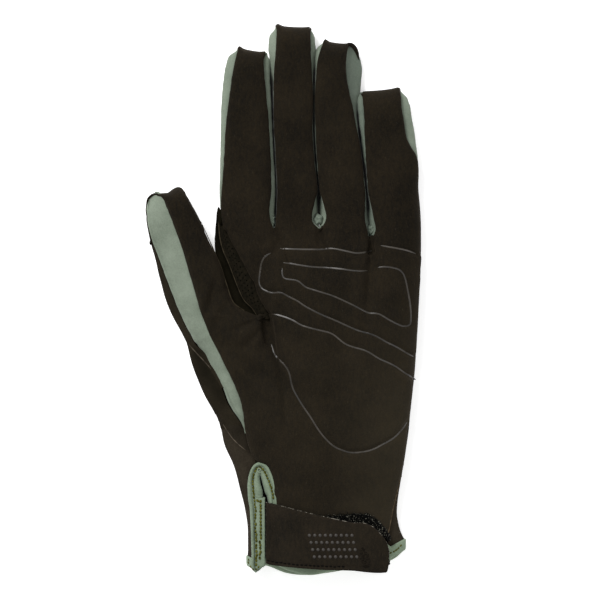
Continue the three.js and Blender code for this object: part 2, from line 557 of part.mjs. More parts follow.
// Thumb gusset: beside the suede all down the thumb, then along the hand's edge to a point above the wrist.
function thumbGusset() {
  const thumbSteps = 12;
  const handSteps = 8;
  const edge = thumbPlan('left');
  const far = thumbPlan('gusset');
  const rounded = (fromTip, full) => mix(palmFace.tip - 0.5, full, quarterRound(fromTip / thumbTipRounding));
  const stations = [];
  for (let i = 0; i <= thumbSteps; i++) {
    const t = mix(0.03, 1, i / thumbSteps);
    const a = edge(t);
    const b = far(t);
    const fromTip = thumb[0].left[1] - a.y + 0.8;
    const bottomZ = mix(6.4, 5.9, t);
    stations.push({
      top: point(a.x - seamGap - 0.15, a.y - 0.2, rounded(fromTip - 0.3, thumbSection[0] - 0.1)),
      bottom: point(b.x + 0.2, b.y, mix(5.3, bottomZ, quarterRound(fromTip / thumbTipRounding))),
      bulge: 0.9,
    });
  }
  const handEdge = edgePlan(thenarEdge);
  const seam = plan(backLeft.map((row) => row.seam));
  const edgeEnd = 3 / (thenarEdge.length - 1);
  const seamEnd = 4.25 / (backLeft.length - 1);
  for (let i = 1; i <= handSteps; i++) {
    const t = i / handSteps;
    const a = handEdge(t * edgeEnd);
    const b = seam(t * seamEnd);
    const width = Math.max(0.9, a.x - b.x - 2 * seamGap);
    const topZ = heightAlong(thenarEdge, t * edgeEnd) - 0.1;
    const bottomZ = Math.min(topZ - 0.2, heightAlong(backLeft, t * seamEnd) + 0.5);
    stations.push({
      top: point(a.x - seamGap, a.y, topZ),
      bottom: point(a.x - seamGap - width, mix(a.y, b.y, 0.8), bottomZ),
      bulge: mix(0.9, 0.1, t),
    });
  }
  return stripPatch(stations.reverse());
}

function thumbBack() {
  const far = thumbPlan('gusset');
  const outline = thumbPlan('outline');
  const inner = thumbPlan('inner');
  return alongFinger.map((t) => {
    const [a, b, c] = [far(t), outline(t), inner(t)];
    const close = quarterRound((thumb[0].inner[1] - c.y - 1.5) / thumbTipRounding);
    const toTip = (z) => mix(backFace.tip, z, close);
    const rightZ = mix(thumbBackRight, 2.4, ease((t - 0.72) / 0.28));
    const lower = across.slice(1).map((u) => {
      const x = mix(b.x, c.x, u);
      const edge = mix(thumbBackEdge.outline, rightZ, ease((u - 0.5) * 2));
      return point(x, mix(b.y, c.y, u), toTip(edge * (1 - arch(2 * u - 1, 4))));
    });
    const row = [point(a.x, a.y, toTip(thumbBackEdge.left)), point(b.x, b.y, toTip(thumbBackEdge.outline)), ...lower];
    return row.reverse();
  });
}

// Crotch between index and thumb

function crotchPatch() {
  const suedeEdge = (t) => {
    const upper = fingerRow('index', 0, (fingers.index.rows[0].up - outerGussetEnd + 1) / 78.5, palmFace)[0];
    const edge = plan([[upper.x, upper.y], ...crotchEdge]);
    return edge(t * 0.94);
  };
  const stations = bandStations(suedeEdge, plan(webSeam), 12, () => webHeights.patchTop, () => webHeights.patchBottom,
    () => 0.3);
  return stripPatch(stations.reverse());
}

function thumbWeb() {
  const inset = (curve, dx) => (t) => curve(t).add(new THREE.Vector2(dx, 0));
  const stations = bandStations(inset(plan(webSeam), -0.35), inset(plan(webEdge), -0.35), 12,
    () => webHeights.webTop, () => webHeights.webBottom, () => 0.2);
  return stripPatch(stations.reverse());
}

// Bindings and closure: ribbons between two curves in plan, lying on the cuff

function ribbon(firstAt, secondAt, steps, columns, heightAt) {
  return Array.from({ length: steps + 1 }, (_, i) => {
    const a = firstAt(i / steps);
    const b = secondAt(i / steps);
    return Array.from({ length: columns + 1 }, (_unused, c) => {
      const p = a.clone().lerp(b, c / columns);
      return point(p.x, p.y, heightAt(p.x, p.y));
    });
  });
}

const bindingTop = (x) => slitHeight.z + (x - slitHeight.atX) * slitHeight.rise;

// Height of a grid of points above a place in plan, or undefined beside it.
function heightOn(grid, x, up) {
  const place = point(x, up, 0);
  const weights = new THREE.Vector3();
  const flat = (p) => point(p.x, p.y, 0);
  for (let r = 0; r + 1 < grid.length; r++) {
    for (let c = 0; c + 1 < grid[r].length; c++) {
      const [a, b, d, e] = [grid[r][c], grid[r + 1][c], grid[r + 1][c + 1], grid[r][c + 1]];
      for (const face of [[a, b, d], [a, d, e]]) {
        const found = THREE.Triangle.getBarycoord(place, ...face.map(flat), weights);
        if (found && Math.min(weights.x, weights.y, weights.z) >= -1e-6) {
          return face[0].z * weights.x + face[1].z * weights.y + face[2].z * weights.z;
        }
      }
    }
  }
  return undefined;
}

function slitBinding() {
  return ribbon(plan(slitOuter), plan(slitInner), 30, 2, (x) => bindingTop(x));
}

function hemBinding(palmHemRow, backHemRow) {
  const path = [...palmHemRow, ...backHemRow.slice().reverse()];
  const upper = path.map((p) => moved(p, 0, -seamGap, 0));
  const lower = path.map((p) => moved(p, 0, -bindingWidth, 0));
  return [upper, lower];
}

// The tab is stiff and flat from top to bottom, so its height follows one line across the cuff.
function tabHeight(cuff) {
  return (x) => {
    const under = heightOn(cuff, THREE.MathUtils.clamp(x, -1.5, tabEnd.from), tabEnd.up);
    const level = Math.max(under + tabLift.full, tabEnd.height);
    return mix(bindingTop(x) + tabLift.start, level, ease((x - tabTop[0][0]) / tabLift.run));
  };
}

function overlay(piece, cuff, steps, columns) {
  const heightAt = (x, up) => heightOn(cuff, x, up) + piece.lift;
  return ribbon(plan(piece.bottom), plan(piece.top), steps, columns, heightAt);
}

function anchorPatch() {
  const line = (x) => (t) => new THREE.Vector2(x, mix(anchorStrip.top, anchorStrip.foot, t));
  return ribbon(line(anchorStrip.left), line(anchorStrip.right), 8, 1, (x) => bindingTop(x) + anchorStrip.lift);
}

// Assembly

const glove = new THREE.Group();

function add(name, patches, thickness, material) {
  const mesh = new THREE.Mesh(wall(patches, thickness), material);
  mesh.name = name;
  glove.add(mesh);
}

const turned = (rows) => rows.slice().reverse();
const palmSide = palmPatches();
const backSide = backPatches();
const flipRows = (patch) => patch.map((row) => row.slice().reverse());

add('palm_panel', palmSide.patches, suedeWall, suedeBlack);
add('back_panel', backSide.hand.map(flipRows), stretchWall, stretchBlack);
add('back_cuff', backSide.cuff.map(flipRows), stretchWall, stretchBlack);
add('thumb_back', [thumbBack()], stretchWall, stretchBlack);
add('thumb_gusset', [thumbGusset()], gussetWall, sage);
add('index_outer_gusset', [stripPatch(turned(gussetStations('index', 0, outerGussetEnd)))], gussetWall, sage);
add('index_middle_gusset', [betweenFingers('index', 'middle')], gussetWall, sage);
add('middle_ring_gusset', [betweenFingers('middle', 'ring')], gussetWall, sage);
add('ring_little_gusset', [betweenFingers('ring', 'little')], gussetWall, sage);
add('little_outer_gusset', [stripPatch(gussetStations('little', 1, littleGussetEnd))], gussetWall, sage);
add('crotch_patch', [crotchPatch()], patchWall, meshBlack);
add('thumb_web', [thumbWeb()], gussetWall, stretchBlack);
add('slit_binding', [slitBinding()], bindingWall, bindingSage);
add('hem_binding', [hemBinding(palmSide.heel.at(-1), backSide.hemRow)], bindingWall, bindingSage);
add('loop_field', [overlay(loopField, palmSide.heel, 10, 3)], loopField.wall, hookBlack);
add('hook_pad', [overlay(hookPad, palmSide.heel, 6, 2)], hookPad.wall, hookBlack);
add('closure_tab', [ribbon(plan(tabBottom), plan(tabTop), 16, 4, tabHeight(palmSide.heel))], tabWall, suedeBlack);
add('tab_anchor', [anchorPatch()], anchorStrip.wall, bindingSage);

glove.position.set(-gloveMiddle, -gloveLength / 2, 0);

export default glove;
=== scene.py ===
import math

import bmesh
import bpy
import numpy as np
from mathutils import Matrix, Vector, noise
from mathutils.bvhtree import BVHTree
from mathutils.kdtree import KDTree


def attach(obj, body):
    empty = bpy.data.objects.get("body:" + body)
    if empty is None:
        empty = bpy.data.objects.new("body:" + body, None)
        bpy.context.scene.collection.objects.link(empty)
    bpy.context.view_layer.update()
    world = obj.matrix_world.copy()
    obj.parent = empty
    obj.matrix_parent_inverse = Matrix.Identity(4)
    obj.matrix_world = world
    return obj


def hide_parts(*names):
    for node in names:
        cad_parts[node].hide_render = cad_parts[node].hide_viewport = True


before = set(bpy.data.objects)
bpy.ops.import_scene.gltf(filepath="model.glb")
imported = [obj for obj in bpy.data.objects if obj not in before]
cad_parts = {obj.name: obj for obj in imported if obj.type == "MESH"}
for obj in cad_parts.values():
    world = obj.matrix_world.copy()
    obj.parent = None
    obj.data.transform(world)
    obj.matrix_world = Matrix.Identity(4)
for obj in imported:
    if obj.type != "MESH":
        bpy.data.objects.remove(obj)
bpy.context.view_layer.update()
print("frame loaded:", len(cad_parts), "nodes")

# Sizes are in millimetres: x from the glove's middle, up from the hem line, z above the floor.
hemLine, gloveMiddle = 120.2, 0.1


def toMetres(points):
    return (np.asarray(points) + (gloveMiddle, -hemLine, 0.0)) / 1000.0


def mix(a, b, t):
    return a + (b - a) * t


def ease(t):
    t = np.clip(t, 0.0, 1.0)
    return t * t * (3.0 - 2.0 * t)


def arch(s, fullness):
    return np.sqrt(np.maximum(0.0, 1.0 - np.abs(s) ** fullness))


def quarterRound(t):
    return np.sqrt(1.0 - (1.0 - np.clip(t, 0.0, 1.0)) ** 2)


def bell(x, width):
    return np.exp(-((x / width) ** 2))


# Even places from 0 to 1
def shares(count):
    return np.linspace(0.0, 1.0, count + 1)


# Rows of points from each point of one line to the same point of another, at places between them
def between(a, b, places):
    return a[:, None] + (b - a)[:, None] * places[None, :, None]


def raised(plan, z):
    return np.concatenate([plan, z[..., None]], -1)


# Distance along a line of points, and the points at given distances
def runAlong(points):
    return np.concatenate([[0.0], np.cumsum(np.linalg.norm(np.diff(points, axis=0), axis=1))])


def pointsAt(points, run, at):
    return np.stack([np.interp(at, run, points[:, k]) for k in range(points.shape[1])], -1)


# Places from 0 to 1, closer together at the start
def gradual(count, power=1.6, even=0.75):
    t = shares(count)
    return mix(t**power, t, even)


def ripple(at, size):
    return np.array([noise.noise(Vector(p)) for p in at / size])


# Value of one column of a table at any height, by a smooth curve
def column(rows, index, up):
    ups = np.array([row[0] for row in rows], float)
    values = np.array([row[index] for row in rows], float)
    last = len(rows) - 1
    k = np.clip(np.searchsorted(-ups, -np.asarray(up, float), side="right") - 1, 0, last - 1)
    before, after = np.maximum(np.arange(last + 1) - 1, 0), np.minimum(np.arange(last + 1) + 1, last)
    slopes = (values[after] - values[before]) / (ups[after] - ups[before])
    span = ups[k + 1] - ups[k]
    t = np.clip((up - ups[k]) / span, 0.0, 1.0)
    return ((2 * t**3 - 3 * t**2 + 1) * values[k] + (3 * t**2 - 2 * t**3) * values[k + 1]
            + span * ((t**3 - 2 * t**2 + t) * slopes[k] + (t**3 - t**2) * slopes[k + 1]))


# Smooth curve through points, by the share of the way along them; any number of values per point
def curve(points):
    pts = np.array(points, float)
    last = len(pts) - 1

    def at(t):
        place = np.clip(np.asarray(t, float), 0.0, 1.0) * last
        k = np.minimum(place.astype(int), last - 1)
        w = (place - k)[..., None]
        p0, p1, p2, p3 = pts[np.maximum(k - 1, 0)], pts[k], pts[k + 1], pts[np.minimum(k + 2, last)]
        v0, v1 = (p2 - p0) / 2, (p3 - p1) / 2
        return (2 * p1 - 2 * p2 + v0 + v1) * w**3 + (-3 * p1 + 3 * p2 - 2 * v0 - v1) * w**2 + v0 * w + p1

    return at


# Value at a place, by a smooth curve through a table of (place, value)
def alongTable(table, place):
    table = np.array(table)
    return curve(table)(np.interp(place, table[:, 0], np.linspace(0, 1, len(table))))[..., 1]


# Distance from points (n, 2) to a line of points, and the share of the way along it
def alongLine(line, points):
    line = np.asarray(line, float)
    run = runAlong(line)
    best, where = np.full(len(points), 1e9), np.zeros(len(points))
    for start, step, length, before in zip(line, np.diff(line, axis=0), np.diff(run), run):
        t = np.clip(((points - start) @ step) / (length * length), 0.0, 1.0)
        d = np.linalg.norm(points - start - t[:, None] * step, axis=1)
        closer = d < best
        best[closer], where[closer] = d[closer], (before + t * length)[closer] / run[-1]
    return best, where


# Shape of the hand: the heights of the outer faces, and the edges of the suede on each finger
palmFace = {"middle": 12.3, "side": 9.8, "seam": 6.6, "tip": 5.1}
backFace = {"middle": 0.0, "side": 2.2, "seam": 4.8, "tip": 4.7}
shape = {
    "tipRounding": 9.0, "fingerFullness": 2.6, "palmFullness": 3.2, "backFullness": 7.0,
    "littleSeam": (190.0, 16.0), "littleGussetEnd": 180.0, "crotchBulge": 0.5, "slopeReach": 12.0,
    "tipDip": 0.5, "dipReach": 6.0, "cornerHump": (0.12, 0.2), "cornerNotch": (0.9, 0.07), "cornerReach": 1.7,
    "bandBulge": 0.16, "thumbSideRise": 4.0,
}
# Slope of the tip, then rows of up, left edge, right edge, gusset that shows beyond the left and beyond the
# right edge, and reach of the back beyond the right edge
fingers = {
    "index": (2.2, [
        (229.1, -19.9, -7.2, 1, 0.6, 0), (224.7, -21.2, -8.1, 2.95, 1.3, 0), (216, -22.7, -7.9, 3.45, 1.7, 0),
        (202.9, -24.5, -6.5, 2.7, 1.5, 0), (185.5, -25.9, -5.2, 1.6, 1.4, 0), (168, -27.2, -4.9, 0.7, 2.1, 0),
        (159.5, -27.3, -5.8, 0.4, 2.1, 0), (154.8, -26.9, -5.3, 0.5, 1, 0)]),
    "middle": (0.8, [
        (239.4, -3.5, 12.4, 1.3, 0.9, 0), (233.5, -3.3, 12.2, 3.1, 1.8, 0), (224.7, -3.9, 12.2, 2.8, 1.9, 0),
        (211.6, -4.4, 13.2, 0.8, 0, 0), (194.2, -4.2, 13.2, 0, 0, 0), (181.1, -3.5, 13.9, 0, 0, 0),
        (168, -2.8, 15, 0, 0.4, 0), (161.2, -2.9, 13.5, 0.3, 2.2, 0), (156.6, -3.1, 12.8, 0.3, 2.2, 0),
        (153.6, -3.5, 13.5, 0.3, 1.5, 0)]),
    "ring": (1.4, [
        (232.4, 17.5, 28.8, 1, 0.8, 1.2), (226.9, 15.5, 27.7, 0.7, 1.4, 4.9), (220.4, 14.4, 27.5, 0, 1.8, 6.3),
        (211.6, 13.6, 28.8, 0, 0.8, 4.9), (202.9, 13.5, 31, 0, 0.4, 1.6), (189.8, 13.7, 33.2, 0, 0, 0),
        (176.7, 14.7, 34.9, 0, 0, 0), (167, 15.9, 36, 0.5, 0.4, 0), (161.2, 17.3, 36, 2.1, 0.6, 0),
        (156.6, 18.3, 35.8, 2.1, 0.6, 0), (153.6, 17.7, 36, 1.5, 0.6, 0)]),
    "little": (-1.7, [
        (211.9, 33.6, 51.1, 0.7, 1, 0), (205.1, 34.1, 51.7, 1.6, 3.3, 0), (198.5, 34.5, 52.8, 1.5, 3.5, 0),
        (189.8, 35.3, 54.5, 1.1, 3.3, 0), (181.1, 35.8, 58.5, 0.7, 0.3, 0), (168, 36.5, 58.9, 0, 0, 0),
        (162.4, 37.5, 59.4, 0, 0, 0), (157.1, 38.7, 59.8, 0.8, 0, 0), (151.6, 39.8, 60, 1.9, 0, 0),
        (149, 39.4, 60, 1.5, 0, 0)]),
}
fingerNames = list(fingers)
# How far the left and the right corner of a tip stick out
cornerNubs = {"index": (0.75, 0.35), "middle": (0.75, 0.05), "ring": (0.8, 0.25), "little": (-0.2, 0.2)}
knuckles = [(-26.2, 150.6), (-3.9, 151.2), (15.7, 151.4), (37.5, 147.1), (60, 147.9)]

# Thumb: left and right edge of the suede, gusset's far edge, outline and inner edge of the thumb's back, the
# suede's height across the thumb, and how far its rounded tip stands above a line between its corners
thumb = {
    "left": [(-55.6, 166), (-51.1, 160.6), (-48, 153.2), (-44.5, 143.6), (-41.9, 135.3), (-39.3, 126.5),
             (-36.7, 117.8), (-34.5, 111.3), (-31.9, 104.3)],
    "right": [(-42.6, 168.5), (-39.4, 161.7), (-35.5, 154.2), (-30.5, 143.2), (-26.9, 134.8), (-24.2, 126.5),
              (-21.4, 119.1), (-16.6, 115.4), (-7.9, 113.9)],
    "gusset": [(-57.3, 165.3), (-59.5, 156.5), (-58.1, 148), (-55, 139.5), (-51.8, 131), (-48.6, 122.5),
               (-45.2, 114), (-42, 107.4), (-38.9, 101.7)],
    "outline": [(-57.4, 165.8), (-59.8, 156.5), (-58.4, 148), (-56.1, 139.2), (-53.9, 130.5), (-51.6, 121.5),
                (-48.3, 112.9), (-44.6, 106.4), (-42.2, 101.5)],
    "inner": [(-43.3, 168.2), (-40.1, 161.5), (-36.2, 154), (-31.2, 143), (-27.8, 134.6), (-25, 126.3),
              (-22.4, 120), (-19.6, 116.9), (-17.9, 115.2)],
    "section": [(0, 12.2), (0.12, 13.2), (0.37, 13.7), (0.63, 13.3), (0.88, 12.1), (1, 9.6)],
    "tip": [(0, 0), (0.2, -0.2), (0.4, -0.2), (0.6, 1.2), (0.75, 1.5), (0.88, 0.7), (1, -1.4)], "tipReach": 4.0,
    "rounding": 8.0, "backRight": 7.4, "backRightEnd": 2.4, "backLeft": 4.6, "backOutline": 2.9,
}
crotchEdge = [(-26.2, 150.6), (-24.6, 149), (-22.3, 144), (-19.2, 138.3), (-16.1, 132.2), (-13.5, 126.5),
              (-10.5, 120), (-7.9, 113.9)]
# Edges of the suede below the thumb: x, up, height
thenarEdge = [(-31.9, 104.3, 12.2), (-25.3, 90.8, 11.3), (-19.2, 76.4, 10.2), (-16.6, 62, 9.4),
              (-13, 51.2, 9.3), (-7.4, 47.2, 9.9), (-4.7, 41, 10.3), (-3.6, 30.5, 10.6), (-3.2, 9.1, 10.7)]
palmRight = [(60, 147.9), (60, 141.8), (59.6, 130), (58.7, 113)]
heelRight = [(58.7, 113, 6.6), (57.9, 98, 6.6), (56.5, 83, 6.6), (54.8, 68, 6.6), (52.9, 52, 6.7),
             (50.8, 41.5, 7.2), (48.1, 30.5, 8.6), (46.2, 21, 9.8), (44.6, 13.9, 10.4)]
crown = [(151, 13.6), (132, 16.2), (112, 17.2), (88, 17.2), (60, 15.6), (36, 13.4), (16, 12.6), (0, 12.4)]
bindingRoom = 0.75  # the hem of the back is lifted by its binding
palmHem = [(-3.2, 9.1), (3.1, 6.6), (11.8, 4.9), (22.7, 6.9), (33.6, 9.5), (44.6, 13.9)]
backHem = [(-15.6, 8.3), (-9, 8.6), (-5.5, 7.9), (2, 5.1), (12.5, 4.5), (29.2, 7), (46, 10.8), (52.9, 15.6)]
# Left side of the back: outline x, up, then the seam's x, up and height; then the same for the right side
backLeft = {
    "outline": [(-41.9, 100.7), (-39.7, 92), (-36.4, 83.5), (-31.8, 74), (-28, 66.6), (-25.5, 56.5),
                (-21.2, 46.7), (-18.2, 36), (-15.6, 23), (-15.6, 8.3)],
    "seam": [(-38.2, 100.2, 5.4), (-32.6, 91.6, 6.4), (-27.2, 82.6, 7.4), (-23.6, 74, 8.2), (-18, 65.8, 8.8),
             (-13.2, 55.6, 8), (-11.8, 45.4, 7.7), (-13.6, 36, 8.2), (-12.9, 23, 8.7), (-12.2, 6.6, 8.8)],
}
cuffRight = {
    "seam": [(57.4, 113, 5), (55.2, 83, 5), (51.6, 52, 5.1), (47.2, 31, 7.2), (45.2, 21, 8.6), (43.8, 11, 9)],
    "outline": [(58.9, 113), (56.7, 83), (53.1, 52), (49.6, 31), (50.4, 22), (52.9, 15.6)],
}
backCrotch = [(-26.4, 150.6), (-29, 147), (-29.4, 143), (-26.6, 134.8), (-23.9, 126.4), (-21.3, 119.4),
              (-17.2, 114.5)]
webSeam = [(-28.2, 158.4), (-27.7, 148.4), (-26.2, 141.8), (-23.6, 135.7), (-20.1, 126.5), (-17.2, 120.2),
           (-13.6, 116.4)]
webEdge = [(-29, 158.4), (-29.7, 149.7), (-29.9, 143.1), (-28.6, 135.9), (-26.6, 127), (-24.6, 118.8),
           (-20.6, 113.2)]

# Faces across and along a finger, along the palm, along the heel and along the thumb
palmGrain = {"across": 27, "finger": 108, "palm": 52, "heel": 150, "thumb": 90}
backGrain = {"across": 16, "finger": 60, "palm": 28, "heel": 80, "thumb": 60}


# Places from 0 to 1, closer together at both ends
def spread(count):
    t = shares(count)
    return mix(t, (1.0 - np.cos(np.pi * t)) / 2.0, 0.55)


def tipOf(name):
    return fingers[name][1][0][0]


# A finger's rows with the point at its knuckle on one side
def edgeTable(name, right):
    x, up = knuckles[fingerNames.index(name) + right]
    return fingers[name][1] + [(up, x, x, 0, 0, 0)]


# Points of a finger's face, at shares of its length and at shares across it
def fingerAt(name, up, share, face):
    slope, tipUp = fingers[name][0], tipOf(name)
    sides = []
    for right in (0, 1):
        table = edgeTable(name, right)
        level = mix(tipUp, table[-1][0], up)
        reach = column(table, 5, level) if right and face is backFace else 0.0
        z = np.full_like(level, face["side"])
        if name == "little" and right:
            start, run = shape["littleSeam"]
            z = mix(face["side"], face["seam"], ease((start - level) / run))
        sides.append(np.stack([column(table, 1 + right, level) + reach, level, z], -1))
    p = between(*sides, share)
    chord = p[..., 2]
    whole = chord + (face["middle"] - chord) * arch(2 * share - 1, shape["fingerFullness"])[None]
    fromTip = tipUp - p[..., 1]
    p[..., 2] = mix(face["tip"], whole, quarterRound(fromTip / shape["tipRounding"]))
    p[..., 1] += slope * (0.5 - share)[None] * np.clip(1 - fromTip / shape["slopeReach"], 0, 1)
    toSide = 2 * share[None] - 1  # the tip seam dips between two corners that stick out a little
    p[..., 1] -= shape["tipDip"] * (1 - toSide**2) * np.clip(1 - fromTip / shape["dipReach"], 0, 1)
    size = np.where(toSide < 0, *cornerNubs[name])
    inwards = 1 - np.abs(toSide)
    (place, wide), (notch, narrow) = shape["cornerHump"], shape["cornerNotch"]
    hump = size * bell(inwards - place, wide) - notch * bell(inwards, narrow)
    p[..., 1] += hump * bell(fromTip, shape["cornerReach"])
    return p


def fingerBlock(name, face, grain):
    return fingerAt(name, gradual(grain["finger"]), spread(grain["across"]), face)


# A patch between four edges; its heights leave those of the first row and settle on the profile
def handBlock(first, leftAt, rightAt, lastAt, steps, settle, profile):
    u = (first[:, 0] - first[0, 0]) / (first[-1, 0] - first[0, 0])
    v = shares(steps)[:, None]
    low = lastAt(u)[:, :2]
    base = first[None, :, :2] * (1 - v[..., None]) + low[None] * v[..., None]
    left, right = leftAt(v[:, 0])[:, :2], rightAt(v[:, 0])[:, :2]
    plan = (base + (left - base[:, 0])[:, None] * (1 - u)[None, :, None]
            + (right - base[:, -1])[:, None] * u[None, :, None])
    return raised(plan, mix(first[None, :, 2], profile(u[None], v, plan[..., 1]), ease(v / settle)))


def joinRows(rows):
    return np.concatenate([rows[0]] + [row[1:] for row in rows[1:]])


def arched(u, left, right, up):
    chord = mix(left, right, u)
    return chord + (column(crown, 1, up) - chord) * arch(2 * u - 1, shape["palmFullness"])


# A line down the thumb. Its first stretch, beside the tip, bows out
def thumbLine(name, t):
    bow = {"left": (0.5, 1.3), "gusset": (-1.0, 0.1), "outline": (-1.1, 0.2)}.get(name, (0.0, 0.0))
    return curve(thumb[name])(t) + np.sin(np.pi * np.clip(t * 8, 0, 1))[..., None] * bow


def thumbBlock():
    t, u = gradual(palmGrain["thumb"]), spread(palmGrain["across"])
    a, b = thumbLine("left", t), thumbLine("right", t)
    plan = between(a, b, u)
    tip = alongTable(thumb["tip"], u)[None]
    plan[..., 1] += tip * np.exp(-(plan[0, :, 1] - plan[..., 1]) / thumb["tipReach"])
    heights = alongTable(thumb["section"], u)
    close = quarterRound((thumb["right"][0][1] - b[:, 1]) / thumb["rounding"])
    return raised(plan, mix(palmFace["tip"], heights[None], close[:, None]))


def straight(a, b):
    a, b = np.array(a, float), np.array(b, float)
    return lambda u: a + (b - a) * np.asarray(u)[..., None]


def palmBlocks():
    blocks = [fingerBlock(name, palmFace, palmGrain) for name in fingerNames]
    knuckleRow = joinRows([block[-1] for block in blocks])
    palm = handBlock(knuckleRow, curve(crotchEdge), curve(palmRight), straight(crotchEdge[-1], palmRight[-1]),
                     palmGrain["palm"], 0.75,
                     lambda u, v, up: arched(u, mix(palmFace["side"], 9.6, v), palmFace["seam"], up))
    thumbRows = thumbBlock()
    wristRow = joinRows([thumbRows[-1], palm[-1]])
    left, right = curve(thenarEdge), curve(heelRight)
    heel = handBlock(wristRow, left, right, curve(palmHem), palmGrain["heel"], 0.5,
                     lambda u, v, up: arched(u, left(v)[..., 2], right(v)[..., 2], up))
    return blocks + [palm, thumbRows, heel]


def backBlocks():
    blocks = [fingerBlock(name, backFace, backGrain) for name in fingerNames]
    knuckleRow = joinRows([block[-1] for block in blocks])

    def flatOver(left, right):
        return lambda u, v, up: mix(left, right, u) * (1 - arch(2 * u - 1, shape["backFullness"])) + 0 * v

    palm = handBlock(knuckleRow, curve(backCrotch), curve(palmRight),
                     straight(backCrotch[-1], cuffRight["outline"][0]), backGrain["palm"], 0.8,
                     flatOver(backFace["side"], backFace["seam"]))
    u = spread(backGrain["across"])[:-1]
    base = straight(backLeft["outline"][0], backCrotch[-1])(u)
    rise = np.where(u < 0.5, shape["thumbSideRise"] * (1 - arch(2 * u - 1, shape["backFullness"])), 0.0)
    wristRow = np.concatenate([raised(base, rise), palm[-1]])
    heel = handBlock(wristRow, curve(backLeft["outline"]), curve(cuffRight["outline"]), curve(backHem),
                     backGrain["heel"], 0.4, flatOver(shape["thumbSideRise"], backFace["seam"] - 0.4))
    v = np.linspace(0.0, 1.0, len(heel))[:, None]
    heel[..., 2] = np.maximum(heel[..., 2], bindingRoom * ease((v - 0.9) / 0.08))
    return blocks + [palm], wrapped(heel)


# Carries the back over both edges of the hand, up to its seams with the palm side
def wrapped(heel):
    v, t = np.linspace(0.0, 1.0, len(heel)), shares(7)
    seams = curve(backLeft["seam"])(v), curve(cuffRight["seam"])(v)
    sides = []
    for seam, edge in zip(seams, (heel[:, 0], heel[:, -1])):
        band = between(edge, seam, t)
        width = np.linalg.norm(seam - edge, axis=1)[:, None]
        band[..., 2] += shape["bandBulge"] * width * np.sin(np.pi * t)
        sides.append(band)
    return np.concatenate([sides[0][:, :0:-1], heel, sides[1][:, 1:]], 1)


# Gussets: how far a strip's edges are set in and its lips tucked in, its room under the suede and over the back,
# how far from a tip it starts, and how much two strips side by side overlap
strip = {"inset": 0.2, "tuck": 0.9, "suedeRoom": 1.15, "backRoom": 0.95, "setback": 0.4, "overlap": 0.7}


# Rows across a strip of cloth: a lip under the first edge, a bulge outwards, and a lip under the second edge
def stripRows(top, bottom, bulge, steps=14, low=1.0):
    tangent = np.gradient(top[:, :2], axis=0)
    outward = np.stack([-tangent[:, 1], tangent[:, 0]], -1)
    outward /= np.maximum(np.linalg.norm(outward, axis=1), 1e-6)[:, None]
    t = shares(steps)
    rows = between(top, bottom, t)
    place = t[None] ** (low * np.ones(len(top)))[:, None]  # above 1, the bulge is nearer to the bottom
    push = bulge[:, None] * np.sin(np.pi * place) ** 0.85 - strip["inset"]
    rows[..., :2] += outward[:, None] * push[..., None]
    lips = rows[:, [0, -1]].copy()
    lips[..., :2] -= outward[:, None] * strip["tuck"]
    whole = np.concatenate([lips[:, :1], rows, lips[:, 1:]], 1)
    facing = np.concatenate([outward, np.zeros((len(top), 1))], -1)[:, None] + np.zeros_like(whole)
    return whole, facing


# Between two fingers: at an up, the first one's share of the space, and how low each one's gusset bulges
gaps = {
    "index": [(240, 0.6, 0.8, 0.9), (222, 0.55, 0.8, 1.6), (206, 0.66, 0.8, 3.5), (150, 0.7, 0.8, 3.5)],
    "middle": [(240, 0.5, 0.8, 0.9), (222, 0.5, 1.1, 1.4), (205, 0.45, 3.5, 3.5), (172, 0.45, 3.5, 3.5),
               (162, 0.5, 2.8, 2.8), (150, 0.5, 2, 2)],
    "ring": [(212, 0.4, 3, 0.8), (196, 0.4, 3.5, 0.7), (180, 0.4, 3.5, 1), (166, 0.45, 3.5, 3),
             (156, 0.4, 2.4, 1.6), (147, 0.4, 1.8, 1.4)],
}


# The two edges of the gusset on one side of a finger, and its bulge, from the tip down
def gussetEdges(name, right, steps, endUp=None):
    tipUp, knuckleUp = tipOf(name), knuckles[fingerNames.index(name) + right][1]
    endShare = (tipUp - endUp) / (tipUp - knuckleUp) if endUp else 1.0
    at = mix(0.004, 1.0, gradual(steps, 1.7, 0.6)) * endShare
    side = np.array([float(right)])
    top = fingerAt(name, at, side, palmFace)[:, 0]
    bottom = fingerAt(name, at, side, backFace)[:, 0]
    later = np.maximum(0.0, at - strip["setback"] / (tipUp - knuckleUp))
    upper = fingerAt(name, later, side, palmFace)[:, 0, 2] - strip["suedeRoom"]
    lower = bottom[:, 2] + strip["backRoom"]
    middle, half = (upper + lower) / 2, np.maximum(0.1, (upper - lower) / 2)
    top[:, 2], bottom[:, 2] = middle + half, middle - half
    bulges = fingers[name][1] + [(knuckleUp, 0, 0, shape["crotchBulge"], shape["crotchBulge"], 0)]
    closed = ease(at * (tipUp - knuckleUp) / 5)
    return top, bottom, column(bulges, 3 + right, mix(tipUp, knuckleUp, at)) * closed


# Columns of a table at any height, by straight lines
def stepped(rows, up, *columns):
    return [np.interp(-up, [-row[0] for row in rows], [row[k] for row in rows]) for k in columns]


